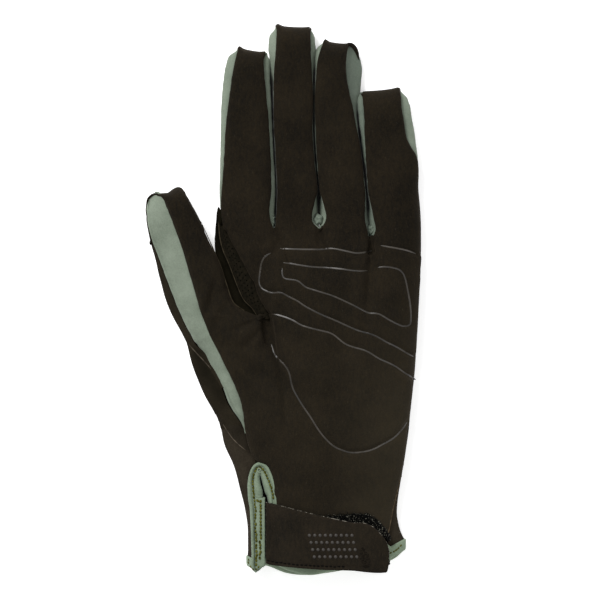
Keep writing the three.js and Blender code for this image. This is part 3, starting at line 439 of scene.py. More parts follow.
# One strip down a finger and up the next; side by side, the two fill the space between them
def betweenFingers(first, second):
    legs = gussetEdges(first, 1, 110), gussetEdges(second, 0, 110)
    highest = min(tipOf(first), tipOf(second))
    parts = []
    for leg, (top, bottom, bulge) in enumerate(legs):
        share, *lows = stepped(gaps[first], top[:, 1], 1, 2, 3)
        left, right = (np.interp(-top[:, 1], -upper[:, 1], (upper[:, 0] + lower[:, 0]) / 2)
                       for upper, lower, _ in legs)
        filled = (right - left + strip["overlap"]) * (1 - share if leg else share)
        parts.append((top, bottom, mix(bulge, filled, ease((highest - top[:, 1]) / 6)), lows[leg]))
    top, bottom, bulge, low = (np.concatenate([a, b[::-1][1:]]) for a, b in zip(*parts))
    return stripRows(top, bottom, bulge, low=low)


# Painted shade deep in the gap between two fingers: at an up, the heights below which each one's gusset is
# painted near black
dark = {
    "index": [(240, 4.2, 4.2), (222, 4.2, 5.5), (206, 4.1, 8.2), (150, 4.1, 8.2)],
    "middle": [(240, 4.2, 4.2), (226, 4.5, 4.5), (212, 8, 8), (170, 8, 8), (163, 5.2, 5.2), (150, 4.3, 4.3)],
    "ring": [(212, 4.2, 4.2), (200, 6, 4.6), (188, 8, 4.8), (177, 8, 7.6), (166, 5.6, 8), (158, 4.8, 5.2),
             (147, 4.6, 4.6)],
}
darkness = {"share": 0.97, "fromTip": 3.0, "reach": 11.0, "soft": 1.5}


def gapShade(first, second):
    highest = min(tipOf(first), tipOf(second))

    def shade(at):
        up = at[:, 1]
        a, b = column(edgeTable(first, 1), 2, up), column(edgeTable(second, 0), 1, up)
        floor = np.where(at[:, 0] < mix(a, b, stepped(gaps[first], up, 1)[0]), *stepped(dark[first], up, 1, 2))
        below = 1 - ease((at[:, 2] - floor) / darkness["soft"])
        return darkness["share"] * below * ease((highest - darkness["fromTip"] - up) / darkness["reach"])

    return shade


# The gusset beside the thumb and below it. room: how far it lies under the suede at the tip, along the thumb and
# at its lower end; floor: its lower edge's heights at those places; ends: where it stops, in points of the
# suede's edge and of the back's seam
thumbStrip = {
    "domeRise": 0.3, "domeReach": 4.5, "room": (0.3, 0.9, 0.6), "floor": (4.7, 6.4, 5.9),
    "moved": (-0.3, 0.2, -0.2), "ends": (3, 4.25), "gap": 0.5, "seamLift": (0.3, -0.5), "bulge": (0.9, 0.15),
}


def thumbGussetRows():
    tipRoom, room, endRoom = thumbStrip["room"]
    floorTip, floorHigh, floorLow = thumbStrip["floor"]
    topMove, bottomMove, lowMove = thumbStrip["moved"]
    t = mix(0.006, 1.0, shares(70))
    a, b = thumbLine("left", t), thumbLine("gusset", t)
    fromTip = thumb["left"][0][1] - a[:, 1] + 0.8
    close = quarterRound(fromTip / thumb["rounding"])
    topZ = mix(palmFace["tip"] - tipRoom, thumb["section"][0][1] - room, close)
    bottomZ = np.minimum(mix(floorTip, mix(floorHigh, floorLow, t), close), topZ - 0.1)
    top, bottom = raised(a + (topMove, 0), topZ), raised(b + (bottomMove, 0), bottomZ)
    t = shares(60)[1:]
    edge, seam = (curve(line)(t * end / (len(line) - 1))
                  for line, end in zip((thenarEdge, backLeft["seam"]), thumbStrip["ends"]))
    lowTop = raised(edge[:, :2] + (lowMove, 0), edge[:, 2] - mix(room, endRoom, t))
    lowZ = np.minimum(lowTop[:, 2] - 0.15, seam[:, 2] + mix(*thumbStrip["seamLift"], ease((t - 0.6) / 0.25)))
    width = np.maximum(0.5, edge[:, 0] - seam[:, 0] - thumbStrip["gap"])
    lowBottom = np.stack([lowTop[:, 0] - width, mix(edge[:, 1], seam[:, 1], 0.8), lowZ], -1)
    bulge = np.concatenate([thumbStrip["bulge"][0] * ease(fromTip / 6), mix(*thumbStrip["bulge"], t)])
    rows, facing = stripRows(*(np.concatenate(pair)[::-1] for pair in ((top, lowTop), (bottom, lowBottom))),
                             bulge[::-1])
    down = np.concatenate([fromTip, np.full(len(t), 99.0)])[::-1, None]  # the tip's end of the strip is a dome
    dome = thumbStrip["domeRise"] * np.sin(np.pi * np.linspace(0, 1, rows.shape[1]))
    rows[..., 1] += dome[None] * np.exp(-down / thumbStrip["domeReach"])
    return rows, facing


def thumbBackBlock():
    t, u = gradual(backGrain["thumb"]), spread(22)
    a, b, c = (thumbLine(key, t) for key in ("gusset", "outline", "inner"))
    close = quarterRound((thumb["inner"][0][1] - c[:, 1]) / thumb["rounding"])
    rightZ = mix(thumb["backRight"], thumb["backRightEnd"], ease((t - 0.72) / 0.28))
    low = mix(thumb["backOutline"], rightZ[:, None], ease((u[None] - 0.5) * 2)) * (1 - arch(2 * u[None] - 1, 4))
    plan = between(b, c, u)
    tipUp = plan[0, :, 1].copy()
    dome = np.where(u < 0.3, thumbStrip["domeRise"] * np.sin(np.pi * (0.5 + u / 0.6)),
                    alongTable(thumb["tip"], (u - 0.3) / 0.7))
    plan[..., 1] += dome[None] * np.exp(-(tipUp - plan[..., 1]) / thumb["tipReach"])
    lower = raised(plan, mix(backFace["tip"], low, close[:, None]))
    rise = shares(3)[:-1]
    side = between(a, b, rise)
    side[..., 1] += 0.9 * rise[None] * np.exp(-(side[0, :, 1] - side[..., 1]) / thumb["tipReach"])
    sideZ = mix(backFace["tip"], mix(thumb["backLeft"] + 1.0, thumb["backOutline"], rise[None]), close[:, None])
    block = np.concatenate([raised(side, sideZ), lower], 1)
    return np.concatenate([block, tuckedEnd(block)])


# The thumb's back goes on under the back of the hand. along: how far along the hand's left edge; inside: how far
# inside its seam, its outline and the next row; rise: how far it is lifted, and its left edge by the end
tucked = {"length": 20.0, "along": 0.24, "inside": (1.6, 1.3, 2.0), "rise": (1.25, 1.6)}


def tuckedEnd(block):
    last = block[-1]
    share = shares(26)[1:]
    outline, seam = (curve(backLeft[key])(share * tucked["along"]) for key in ("outline", "seam"))
    k = np.arange(len(last))
    rows = []
    for t, far, near in zip(share, outline, seam):
        row = last - (0.0, tucked["length"] * t, 0.0)
        places = np.array([near[0], far[0], far[0]]) + tucked["inside"]
        edge = np.interp(k, [0, 3, 4, len(row) - 1], [*places, last[-1, 0]])
        row[:, 0] = mix(last[:, 0], edge, ease(t / 0.25))
        row[:, 2] += tucked["rise"][0] * ease(t / 0.2) + np.interp(k, [0, 3], [tucked["rise"][1] * t, 0.0])
        rows.append(row)
    return np.array(rows)


# Heights of the patch's and the web's edges, and where the index finger's outer gusset ends
web = {"patch": (8.5, 7.4), "web": (5.2, 7.4), "bulge": 0.3, "gussetEnd": 160.0}


def bandRows(first, second, along, heights, shift=0.0, steps=14):
    t = shares(along)
    top, bottom = (raised(edge(t) + (shift, 0), np.full_like(t, z))[::-1]
                   for edge, z in ((first, heights[0]), (second, heights[1])))
    return stripRows(top, bottom, np.full_like(t, web["bulge"]), steps)


# Where the patch and the web end, tucked under the thumb's suede
crotchEnds = {"suede": (-6.6, 111.6), "seam": (-10.4, 111.6), "edge": (-16.0, 108.6)}


def suedeCrotch(t):
    share = (tipOf("index") - web["gussetEnd"] + 1) / (tipOf("index") - knuckles[0][1])
    upper = fingerAt("index", np.array([share]), np.array([0.0]), palmFace)[0, 0]
    return curve([tuple(upper[:2])] + crotchEdge + [crotchEnds["suede"]])(t)


# Folded tape between two lines, by a profile of shares across it and of heights along the normal
def tape(first, second, normal, profile):
    places, rise = np.array(profile).T
    return between(first, second, places) + normal[:, None] * rise[None, :, None]


pieces, surfaces = {}, {}


# A mesh under construction that keeps places across and along its cloth, and an amount of darkening that paints
# shade or matches a tone
def newCloth():
    bm = bmesh.new()
    bm.verts.layers.float_vector.new("weave")
    return bm


# Adds a grid of faces whose points are the block's, turned to face the given way
def gridInto(bm, block, facing):
    rows, cols = block.shape[:2]
    made = bmesh.ops.create_grid(bm, x_segments=cols - 1, y_segments=rows - 1, size=1.0)["verts"]
    at = toMetres(block)
    weave = bm.verts.layers.float_vector["weave"]
    across = np.pad(np.cumsum(np.linalg.norm(np.diff(at, axis=1), axis=2), 1), ((0, 0), (1, 0)))
    across -= across.mean(axis=1, keepdims=True)
    down = np.pad(np.cumsum(np.linalg.norm(np.diff(at, axis=0), axis=2), 0), ((1, 0), (0, 0)))
    for vert in made:
        i, j = round((vert.co.x + 1) / 2 * (cols - 1)), round((vert.co.y + 1) / 2 * (rows - 1))
        vert.co = at[j, i]
        vert[weave] = (across[j, i], down[j, i], 0.0)
    normals = np.cross(np.diff(at, axis=1)[:-1], np.diff(at, axis=0)[:, :-1])
    way = np.broadcast_to(np.asarray(facing, float), block.shape)[:-1, :-1]
    if (normals * way).sum() < 0:
        bmesh.ops.reverse_faces(bm, faces=list({face for vert in made for face in vert.link_faces}))


# One wall of cloth whose outer face is the blocks. relief moves that face, and shade darkens its colour: painted
# shade, or on the cuff a tone matched to the back panel
def clothPiece(name, blocks, thickness, material, nodes, facing=(0, 0, 1), rim=0.3, relief=None,
               shade=None):
    bm = newCloth()
    weave = bm.verts.layers.float_vector["weave"]
    for block in blocks:
        gridInto(bm, block, facing)
    bmesh.ops.remove_doubles(bm, verts=bm.verts, dist=1e-6)
    if relief:
        bm.normal_update()
        verts = list(bm.verts)
        at = np.array([vert.co[:] for vert in verts]) * 1000.0 - (gloveMiddle, -hemLine, 0.0)
        rims = KDTree(len(verts))
        for i, vert in enumerate(verts):
            if vert.is_boundary:
                rims.insert(vert.co, i)
        rims.balance()
        toRim = np.array([rims.find(vert.co)[2] for vert in verts]) * 1000.0
        push = relief(at, toRim, np.array([vert.normal.z for vert in verts]))
        for vert, depth in zip(verts, push):
            vert.co += vert.normal * (depth / 1000.0)
        if shade:
            for vert, value in zip(verts, shade(at)):
                vert[weave] = (*vert[weave][:2], value)
    bm.normal_update()
    surfaces[name] = BVHTree.FromBMesh(bm)
    return finishPiece(name, bm, material, nodes, thickness, rim)


def newObject(name, data):
    made = bpy.data.objects.new(name, data)
    bpy.context.collection.objects.link(made)
    return made


def newMesh(name, bm):
    mesh = bpy.data.meshes.new(name)
    bm.to_mesh(mesh)
    bm.free()
    return mesh


def placed(name, mesh, material, nodes):
    mesh.polygons.foreach_set("use_smooth", [True] * len(mesh.polygons))
    mesh.materials.clear()
    mesh.materials.append(materials[material])
    piece = pieces[name] = newObject(name, mesh)
    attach(piece, "root")
    if nodes:
        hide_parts(*nodes)
    return piece


def finishPiece(name, bm, material, nodes, thickness=None, rim=0.0):
    piece = placed(name, newMesh(name, bm), material, nodes)
    if thickness:
        wall = piece.modifiers.new("wall", "SOLIDIFY")
        wall.thickness, wall.offset = thickness / 1000, -1.0
        wall.use_even_offset, wall.use_quality_normals = False, True
    if rim:
        edge = piece.modifiers.new("rim", "BEVEL")
        edge.width, edge.segments, edge.harden_normals = rim / 1000, 2, False
        edge.limit_method, edge.angle_limit = "ANGLE", math.radians(50)
    return piece


# Height of a piece's upper face at a place, or another height where the piece isn't under it
def heightOn(name, x, up, missing=0.0):
    start = Vector(toMetres((x, up, 45.0)))
    hit = surfaces[name].ray_cast(start, Vector((0, 0, -1)))[0]
    return hit.z * 1000.0 if hit else missing


# Points at even steps along a line of points in plan
def evenly(line, step):
    smooth = curve(line)(np.linspace(0.0, 1.0, 24 * len(line)))
    run = runAlong(smooth)
    return pointsAt(smooth, run, np.linspace(0.0, run[-1], max(2, round(run[-1] / step) + 1)))


# Many short threads as one mesh; each is a list of points in millimetres and of radii
def threads(name, runs, material, sides):
    data = bpy.data.curves.new(name, "CURVE")
    data.dimensions, data.use_fill_caps = "3D", True
    data.bevel_depth, data.bevel_resolution = 0.001, sides - 2
    for points, radii in runs:
        spline = data.splines.new("POLY")
        spline.points.add(len(points) - 1)
        for place, at, radius in zip(spline.points, toMetres(points), radii):
            place.co, place.radius = (*at, 1.0), radius
    holder = bpy.data.objects.new(name + "Curve", data)
    mesh = bpy.data.meshes.new_from_object(holder)
    bpy.data.objects.remove(holder)
    mesh.name = name
    return placed(name, mesh, material, ())


# Stitches: short threads that come out of the cloth and go back into it. Of a stitch's five points: lift, and
# share of its radius
stitch = {"lift": np.array([-0.35, 0.02, 0.16, 0.02, -0.35]), "swell": np.array([0.5, 0.9, 1.1, 0.9, 0.5])}


def stitchRow(line, on, pitch, radius, wobble, seed):
    rng = np.random.default_rng(seed)
    path = evenly(line, pitch / 8)
    runs = []
    for start in range(0, len(path) - 6, 8):
        points = path[start:start + 7][[0, 1, 3, 5, 6]] + rng.normal(0, wobble, 2)
        heights = [max(heightOn(piece, x, up) for piece in on) for x, up in points]
        runs.append((np.column_stack([points, np.array(heights) + stitch["lift"]]), radius * stitch["swell"]))
    return runs


def linear(rgb):
    return [((c / 255 + 0.055) / 1.055) ** 2.4 if c > 10 else c / 255 / 12.92 for c in rgb] + [1.0]


# A Principled material and short ways to add nodes to it
class Shader:
    def __init__(self, name, **sockets):
        self.material = bpy.data.materials.new(name)
        self.material.use_nodes = True
        self.tree = self.material.node_tree
        self.bsdf = self.tree.nodes["Principled BSDF"]
        for key, value in sockets.items():
            self.bsdf.inputs[key.replace("_", " ")].default_value = value

    def node(self, kind, values=(), **settings):
        made = self.tree.nodes.new(kind)
        for key, value in settings.items():
            setattr(made, key, value)
        for key, value in dict(values).items():
            if isinstance(value, bpy.types.NodeSocket):
                self.tree.links.new(value, made.inputs[key])
            else:
                made.inputs[key].default_value = value
        return made

    def place(self, scale=(1, 1, 1), turn=0.0, attribute=None):
        if attribute:
            source = self.node("ShaderNodeAttribute", attribute_name=attribute).outputs["Vector"]
        else:
            source = self.node("ShaderNodeTexCoord").outputs["Object"]
        values = {"Vector": source, "Scale": scale, "Rotation": (0, 0, turn)}
        return self.node("ShaderNodeMapping", values).outputs[0]

    def noise(self, place, scale, detail):
        values = {"Vector": place, "Scale": scale, "Detail": detail, "Roughness": 0.55}
        return self.node("ShaderNodeTexNoise", values).outputs[0]

    def spread(self, value, low, high, toLow=0.0, toHigh=1.0):
        values = {"Value": value, "From Min": low, "From Max": high, "To Min": toLow, "To Max": toHigh}
        return self.node("ShaderNodeMapRange", values).outputs[0]

    def maths(self, what, a, b):
        return self.node("ShaderNodeMath", {0: a, 1: b}, operation=what).outputs[0]

    def blend(self, share, first, second):
        return self.node("ShaderNodeMix", {"Factor": share, 6: first, 7: second}, data_type="RGBA").outputs[2]

    def bump(self, height, distance, strength, after=None):
        values = {"Height": height, "Distance": distance, "Strength": strength}
        if after is not None:
            values["Normal"] = after
        return self.node("ShaderNodeBump", values).outputs[0]

    def finish(self, colour, roughness=None, normal=None):
        for key, value in (("Base Color", colour), ("Roughness", roughness), ("Normal", normal)):
            if value is not None:
                self.tree.links.new(value, self.bsdf.inputs[key])
        return self.material


def suedeMaterial(name, dark, light, heelLight):
    s = Shader(name, Roughness=0.95, Specular_IOR_Level=0.12, Sheen_Weight=0.1, Sheen_Roughness=0.5,
               Sheen_Tint=linear((150, 130, 105)))
    place = s.place()
    patches, grain = s.noise(place, 55, 5), s.noise(place, 1900, 2)
    nap = s.noise(s.place((1, 0.4, 1), 0.5), 900, 4)
    tone = s.maths("ADD", s.spread(patches, 0.36, 0.64, 0, 0.34), s.spread(nap, 0.34, 0.66, 0, 0.33))
    tone = s.maths("ADD", tone, s.spread(grain, 0.34, 0.66, 0, 0.33))
    fibres = s.spread(s.noise(s.place((1, 0.3, 1), 0.9), 2300, 2), 0.66, 0.74, 0, 0.13)  # a few pale fibres
    # Painted light: paler towards the heel and most at its outer edge, for the light that falls on the heel's
    # curve
    x, y = s.node("ShaderNodeSeparateXYZ", {0: place}).outputs[:2]
    outer = s.maths("MULTIPLY", s.spread(x, 0.02, 0.052, 0, 0.11 * heelLight), s.spread(y, 0.0, -0.06))
    paler = s.maths("ADD", s.spread(y, 0.03, -0.06, 0, 0.03 * heelLight), outer)
    colour = s.blend(paler, s.blend(tone, linear(dark), linear(light)), linear((94, 86, 68)))
    colour = s.blend(fibres, colour, linear((84, 78, 64)))
    normal = s.bump(grain, 0.00014, 0.8, s.bump(nap, 0.0003, 0.6))
    return s.finish(colour, s.spread(nap, 0.3, 0.7, 0.88, 1.0), normal)


# A fine twill whose threads follow the piece
def weaveMaterial(name, dark, light, thread, sheen=0.12, roughness=0.8, shine=0.25):
    s = Shader(name, Roughness=roughness, Specular_IOR_Level=shine, Sheen_Weight=sheen, Sheen_Roughness=0.4)
    place = s.place(attribute="weave")
    x, y, shade = s.node("ShaderNodeSeparateXYZ", {0: place}).outputs[:3]
    turns = 2 * math.pi / (thread / 1000)
    rib = s.maths("SINE", s.maths("MULTIPLY", s.maths("ADD", x, s.maths("MULTIPLY", y, 0.5)), turns), 0.0)
    cross = s.maths("SINE", s.maths("MULTIPLY", y, turns * 1.7), 0.0)
    weave = s.maths("ADD", s.maths("MULTIPLY", rib, 0.5), s.maths("MULTIPLY", cross, 0.35))
    patches, specks = s.noise(s.place(), 90, 4), s.noise(s.place(), 1500, 2)
    tone = s.maths("ADD", s.spread(patches, 0.3, 0.7, 0.1, 0.6), s.spread(specks, 0.3, 0.7, 0, 0.3))
    tone = s.maths("ADD", tone, s.maths("MULTIPLY", weave, 0.12))
    # The attribute's third value darkens the cloth towards near black: painted shade, or on the cuff a matched
    # tone
    colour = s.blend(shade, s.blend(tone, linear(dark), linear(light)), linear((5, 6, 4)))
    return s.finish(colour, None, s.bump(weave, 0.00008, 0.6, s.bump(specks, 0.00008, 0.4)))


# Smooth threads, pressed lines, rubber and other small things: one colour with a slight change along it
def plainMaterial(name, dark, light, roughness, scale=800, shine=0.5):
    s = Shader(name, Roughness=roughness, Specular_IOR_Level=shine)
    grain = s.noise(s.place(), scale, 2)
    colour = s.blend(s.spread(grain, 0.3, 0.7), linear(dark), linear(light))
    return s.finish(colour, None, s.bump(grain, 0.00005, 0.5))


# Dark with pale specks of a given grain
def speckledMaterial(name, dark, light, scale, low, high):
    s = Shader(name, Roughness=0.8, Specular_IOR_Level=0.1)
    return s.finish(s.blend(s.spread(s.noise(s.place(), scale, 1), low, high), linear(dark), linear(light)))


# Of each material: how it is made, its dark and its light colour, and the rest of that way's values
dull = (0.5, 0.0, 1.0, 0.03)
looks = {
    # For the suedes, the last value is how much painted light falls on the heel
    "palmSuede": (suedeMaterial, (4, 3, 1), (33, 27, 17), 1.0),
    "tabSuede": (suedeMaterial, (8, 7, 4), (38, 32, 23), 0.0),
    "cuffStretch": (weaveMaterial, (29, 25, 19), (57, 51, 42), *dull),
    "backStretch": (weaveMaterial, (22, 19, 13), (46, 41, 32), *dull),
    "webStretch": (weaveMaterial, (9, 8, 4), (25, 22, 14), *dull),
    "patchMesh": (plainMaterial, (11, 10, 5), (26, 22, 14), 1.0, 900, 0.08),
    "darkLining": (plainMaterial, (1, 1, 1), (4, 4, 3), 1.0, 800, 0.0),
    "sageStretch": (weaveMaterial, (94, 104, 90), (130, 140, 125), 0.6),
    "sageBinding": (weaveMaterial, (92, 106, 88), (131, 146, 124), 0.7),
    # A lighter copy of the binding sage for the hem: painted light, which makes up for the shadow the tab casts
    # on it
    "hemTape": (weaveMaterial, (103, 118, 98), (144, 160, 136), 0.7),
    # A darker copy of the sage stretch that paints shade: on the gusset between ring and little finger and on the
    # crotch knots
    "sageShade": (weaveMaterial, (80, 90, 80), (110, 120, 107), 0.6),
    "oliveThread": (plainMaterial, (24, 26, 4), (98, 98, 34), 0.8, 1100, 0.1),
    "blackThread": (plainMaterial, (3, 3, 2), (12, 10, 8), 0.9, 800, 0.08),
    "tackThread": (plainMaterial, (18, 15, 10), (34, 29, 22), 0.9, 800, 0.08),
    # Pressed lines: real gloss, and their patchy light and dark along each line paints changing glints
    "pressedLine": (plainMaterial, (20, 17, 12), (54, 48, 40), 0.42, 150),
    "paleLining": (speckledMaterial, (28, 25, 21), (150, 144, 132), 950, 0.5, 0.64),
    # Black loop nylon; its pale specks paint the glints on the loops
    "loopNylon": (speckledMaterial, (2, 2, 1), (120, 118, 106), 1500, 0.62, 0.7),
    "loopBase": (plainMaterial, (1, 1, 1), (5, 5, 4), 1.0, 800, 0.0),
    # Pale colour for the painted highlight along the back's seams
    "seamEdge": (plainMaterial, (50, 45, 38), (92, 84, 72), 1.0, 500, 0.05),
    "edgeSuede": (plainMaterial, (34, 30, 22), (62, 55, 42), 1.0, 500, 0.05),
    "paleEdge": (plainMaterial, (52, 44, 33), (116, 100, 78), 1.0, 500, 0.05),
    "hookNylon": (plainMaterial, (10, 9, 8), (18, 17, 16), 0.5),
    "gripRubber": (plainMaterial, (44, 40, 36), (55, 50, 45), 0.6),
}
materials = {name: make(name, *values) for name, (make, *values) in looks.items()}
print("materials made")

# Palm: the folds that its solid has, then finer creases (from x, up; to x, up; depth; half width), then what is
# pressed into it: two raised pads with glossy lines round them
palmRelief = {
    "folds": [
        (38.3, 139, 37.3, 116, 0.9, 3), (16.8, 142, 18, 130, 0.7, 4), (-5.4, 142, -7.6, 126, 0.6, 4),
        (-6.6, 107, -5.4, 97, 1, 3.6), (-12, 141, -9.5, 117, 0.6, 4), (-20, 96, -6, 66, 0.7, 6),
        (-10, 58, 4, 40, 0.7, 5)],
    "creases": [
        (38.6, 147, 38, 136, 1.3, 1.3), (38, 137, 37, 118, 0.7, 1.7), (37, 118, 34.5, 102, 0.4, 2.6),
        (-7.8, 116.5, -6.2, 102.5, 1.6, 1.9), (-7.6, 114, -16, 112.8, 0.6, 1.6),
        (-10.9, 136.6, -15.3, 120, 0.5, 1.8), (-4, 149, -9.2, 136.6, -0.35, 1.2),
        (0, 149.7, -4.8, 138, 0.45, 1.2), (-33.2, 115.6, -23.1, 127, 0.55, 2.6),
        (-26.6, 100.4, -9.2, 98.2, 0.4, 2.4), (-18.8, 88.6, -9.2, 87.7, 0.35, 2),
        (-9.2, 86, 20.5, 75.5, 0.35, 3.4), (-26, 110, -12, 104, -0.4, 3), (22, 96.5, 36, 101, 0.35, 2.6),
        (15.8, 151, 16, 143, 0.5, 1.5), (-3.8, 151, -4.2, 145, 0.5, 1.5), (-14, 96, -4, 88, -0.3, 3),
        (-30, 143, -36, 150, 0.3, 2.5), (-41, 152, -44, 140, 0.25, 3), (-29.4, 128, -32.8, 114.6, 0.9, 1.6),
        (-34, 124, -36.4, 112, -0.45, 2.2), (-28.4, 113.6, -25.4, 112.2, -0.6, 0.9),
        (-9.4, 111.8, -22, 107, 0.7, 1.5), (-9, 108, -17, 99, 0.6, 1.7), (-24, 119, -30, 108, 0.5, 1.8),
        (-2, 108, 6, 101, 0.4, 2), (-3, 126, -9.5, 116.5, 0.5, 1.6), (40.5, 134, 42.5, 122, 0.35, 2),
        (-25, 98, -4, 86, 1.1, 4.5), (-29, 109, -25, 97, 0.7, 3.5), (3, 92, 16, 84, -0.7, 4.5),
        (-14, 78, 4, 64, -0.5, 5), (6, 76, 28, 66, 0.5, 5), (-5, 118, 3, 112, 0.5, 2.2),
        (48, 96, 52, 74, 0.5, 4)],
    "strength": 1.7, "cloth": (0.6, 16.0, 0.22, 5.5), "seamRoll": (0.35, 1.4), "pucker": (0.22, 2.4, 1.7),
    "pad": (0.55, 2.4), "groove": (0.42, 0.85),
}
padLines = {
    "upperOuter": [(-5.2, 140.5), (-7.9, 138.8), (-9.4, 136.2), (-10, 132.7), (-10.5, 127.9), (-9.4, 125.2),
                   (-7.4, 123.9), (-5.2, 123.1), (-0.9, 123.1), (2.6, 121.3), (6.1, 119.6), (10, 117),
                   (16.1, 113.9), (22.7, 111.1), (27.9, 108.7), (32.7, 106.7), (39.3, 104.7), (44.9, 101.7),
                   (49.3, 99.5), (54.1, 96.7), (56.7, 95.4)],
    "upperTop": [(-1.3, 142.3), (7.9, 142), (16.1, 142), (21.4, 142.3), (26.6, 141.4), (30.8, 140.5),
                 (34, 140.5), (38.8, 141.4)],
    "upperTopRight": [(42.3, 143.6), (45.4, 143.1), (50.2, 142.3), (54.1, 141.4), (57.6, 140.1)],
    "innerTop": [(0, 136.2), (3.9, 135.7), (10.7, 134.6), (17.5, 134.1), (24.9, 133.5), (30.8, 132.7),
                 (36.7, 132.7)],
    "innerRest": [(40.8, 134), (44.1, 134.4), (47.6, 134), (50.8, 132.8), (52.8, 129.8), (54.1, 123.9),
                  (55.2, 117), (55.4, 111.1), (54.6, 109.1), (52.2, 108.7), (49.3, 109.7), (45.4, 111.7),
                  (41.5, 113.9), (37.5, 114.3), (34.9, 115.4), (29.2, 118.3), (21.4, 121.8), (14.8, 123.9),
                  (10, 125.5), (6.1, 128.3), (0.4, 129.6), (-0.4, 134)],
    "lowerTop": [(-4.8, 113.9), (-0.9, 113.2), (3.9, 111.3), (7.9, 109.1), (12, 107.8), (16.6, 106.7),
                 (21.4, 105.2), (26.6, 101.2), (30.8, 99.5), (36.2, 97.8), (41.5, 94.7), (48, 91.6),
                 (52.4, 88.6), (55.4, 86.8), (57.6, 85.3)],
    "lowerLeft": [(-5.2, 101), (-3.1, 95.6), (0.7, 91.6), (2.6, 88.2), (3.9, 82.5), (6.1, 78.1), (8.7, 73.8),
                  (12, 69), (15.3, 63.7), (18.8, 59.4), (22.1, 56.5), (25.3, 55), (29.2, 53.9), (34, 54.1),
                  (38.8, 55.2), (43.5, 57.6), (48, 60.2), (51.5, 63.7), (53.7, 66.8)],
}
beyondEdge = [(66, 92), (66, 142)]
padOutlines = [
    padLines["upperOuter"] + beyondEdge + padLines["upperTopRight"][::-1] + padLines["upperTop"][::-1],
    padLines["lowerTop"] + [(66, 84), (66, 68)] + padLines["lowerLeft"][::-1],
]


# Whether points are inside a closed outline, by the crossings of a line to the right of each
def within(outline, points):
    inside = np.zeros(len(points), bool)
    for (x0, up0), (x1, up1) in zip(outline, outline[1:] + outline[:1]):
        if up0 == up1:
            continue
        spans = (points[:, 1] > up0) != (points[:, 1] > up1)
        inside ^= spans & (points[:, 0] < x0 + (points[:, 1] - up0) / (up1 - up0) * (x1 - x0))
    return inside


def pressPalm(at, toRim, facing):
    plan = at[:, :2]
    push = np.zeros(len(at))
    for x0, up0, x1, up1, depth, width in palmRelief["folds"] + palmRelief["creases"]:
        near, share = alongLine([(x0, up0), (x1, up1)], plan)
        deep = palmRelief["strength"] * depth * (0.35 + 0.65 * np.sin(np.pi * share))
        push -= deep * bell(near, width)
    high, highSize, low, lowSize = palmRelief["cloth"]
    crimp, crimpSize, crimpReach = palmRelief["pucker"]
    push += high * ripple(at, highSize) + low * ripple(at, lowSize)
    push += crimp * np.exp(-toRim / crimpReach) * ripple(at, crimpSize)
    depth, reach = palmRelief["seamRoll"]
    push -= depth * np.clip(1 - toRim / reach, 0, 1) ** 2
    rise, soft = palmRelief["pad"]
    for outline in padOutlines:
        push += rise * ease(alongLine(outline + outline[:1], plan)[0] / soft) * within(outline, plan)
    depth, width = palmRelief["groove"]
    for line in padLines.values():
        push -= depth * bell(alongLine(line, plan)[0], width)
    return push * ease((facing + 0.1) / 0.6)


clothPiece("palmPanel", palmBlocks(), 1.2, "palmSuede", ["palm_panel"], relief=pressPalm)
print("palm made")


# Back: soft waves, kept small because it lies on the floor. Where it comes up over the left edge, its seam with
# the cuff shows as a turned edge, and shade is painted in a band beside the gusset
leftEdge = {
    "seam": [(-29, 70), (-26.2, 65.9), (-22.3, 60.2), (-18.8, 56.7), (-16.1, 54.6), (-13, 52.5)],
    "thumbSeam": [(-41, 100.6), (-38.2, 97.4), (-34.6, 93.6), (-31.4, 90)], "end": -14.0,
    "cuffStart": 0.45, "waves": (0.3, 9.0),
    "highlightRadii": (0.1, 0.24, 0.2, 0.06), "rise": 0.6, "fall": 3.5, "above": 0.34,
    "groove": (0.3, 0.9, 0.8), "shadeLine": [(-37, 95), (-31.5, 85), (-26, 76)], "width": 3.2, "dark": 0.45,
}


def aboveSeam(at):
    return at[:, 1] - np.interp(at[:, 0], *np.array(leftEdge["seam"]).T)


def softenBack(at, toRim, facing):
    above = aboveSeam(at)
    turned = leftEdge["rise"] * ease(above / 0.9 + 0.5) * np.exp(-np.maximum(above, 0) / leftEdge["fall"])
    depth, below, width = leftEdge["groove"]
    turned -= depth * bell(above + below, width)
    turned *= (at[:, 0] < leftEdge["end"]) * ease(facing / 0.5)
    high, size = leftEdge["waves"]
    return high * ripple(at, size) * ease((facing + 0.75) / 0.5) * ease(toRim / 2.0) + turned


# Painted shade: darker cloth along a line beside the thumb gusset
def hollowShade(at):
    return leftEdge["dark"] * bell(alongLine(leftEdge["shadeLine"], at[:, :2])[0], leftEdge["width"])


# Above the seam line at the left, the cuff is darkened to the back panel's own colour, where the two pieces meet
def cuffShade(at):
    return leftEdge["above"] * ease(aboveSeam(at) + 0.5) * (at[:, 0] < leftEdge["end"])


backFingers, backHeel = backBlocks()
seamRow = round(leftEdge["cuffStart"] * backGrain["heel"])  # the back and the cuff overlap here by a few rows
for name, blocks, material, node, shade in (
        ("backPanel", backFingers + [backHeel[:seamRow + 3]], "backStretch", "back_panel", hollowShade),
        ("backCuff", [backHeel[seamRow - 2:]], "cuffStretch", "back_cuff", cuffShade),
        ("thumbBack", [thumbBackBlock()], "backStretch", "thumb_back", None)):
    clothPiece(name, blocks, 1.0, material, [node], (0, 0, -1), relief=softenBack, shade=shade)
print("back made")


# Small gathers across a strip where the stitching draws it in
def gather(at, toRim, facing):
    return 0.16 * ripple(at, (6, 2.6, 6)) * ease(toRim / 0.8)


def gussetPiece(name, made, node, material="sageStretch", shade=None):
    rows, facing = made
    clothPiece(name, [rows], 0.8, material, [node], facing, 0.2, gather, shade)


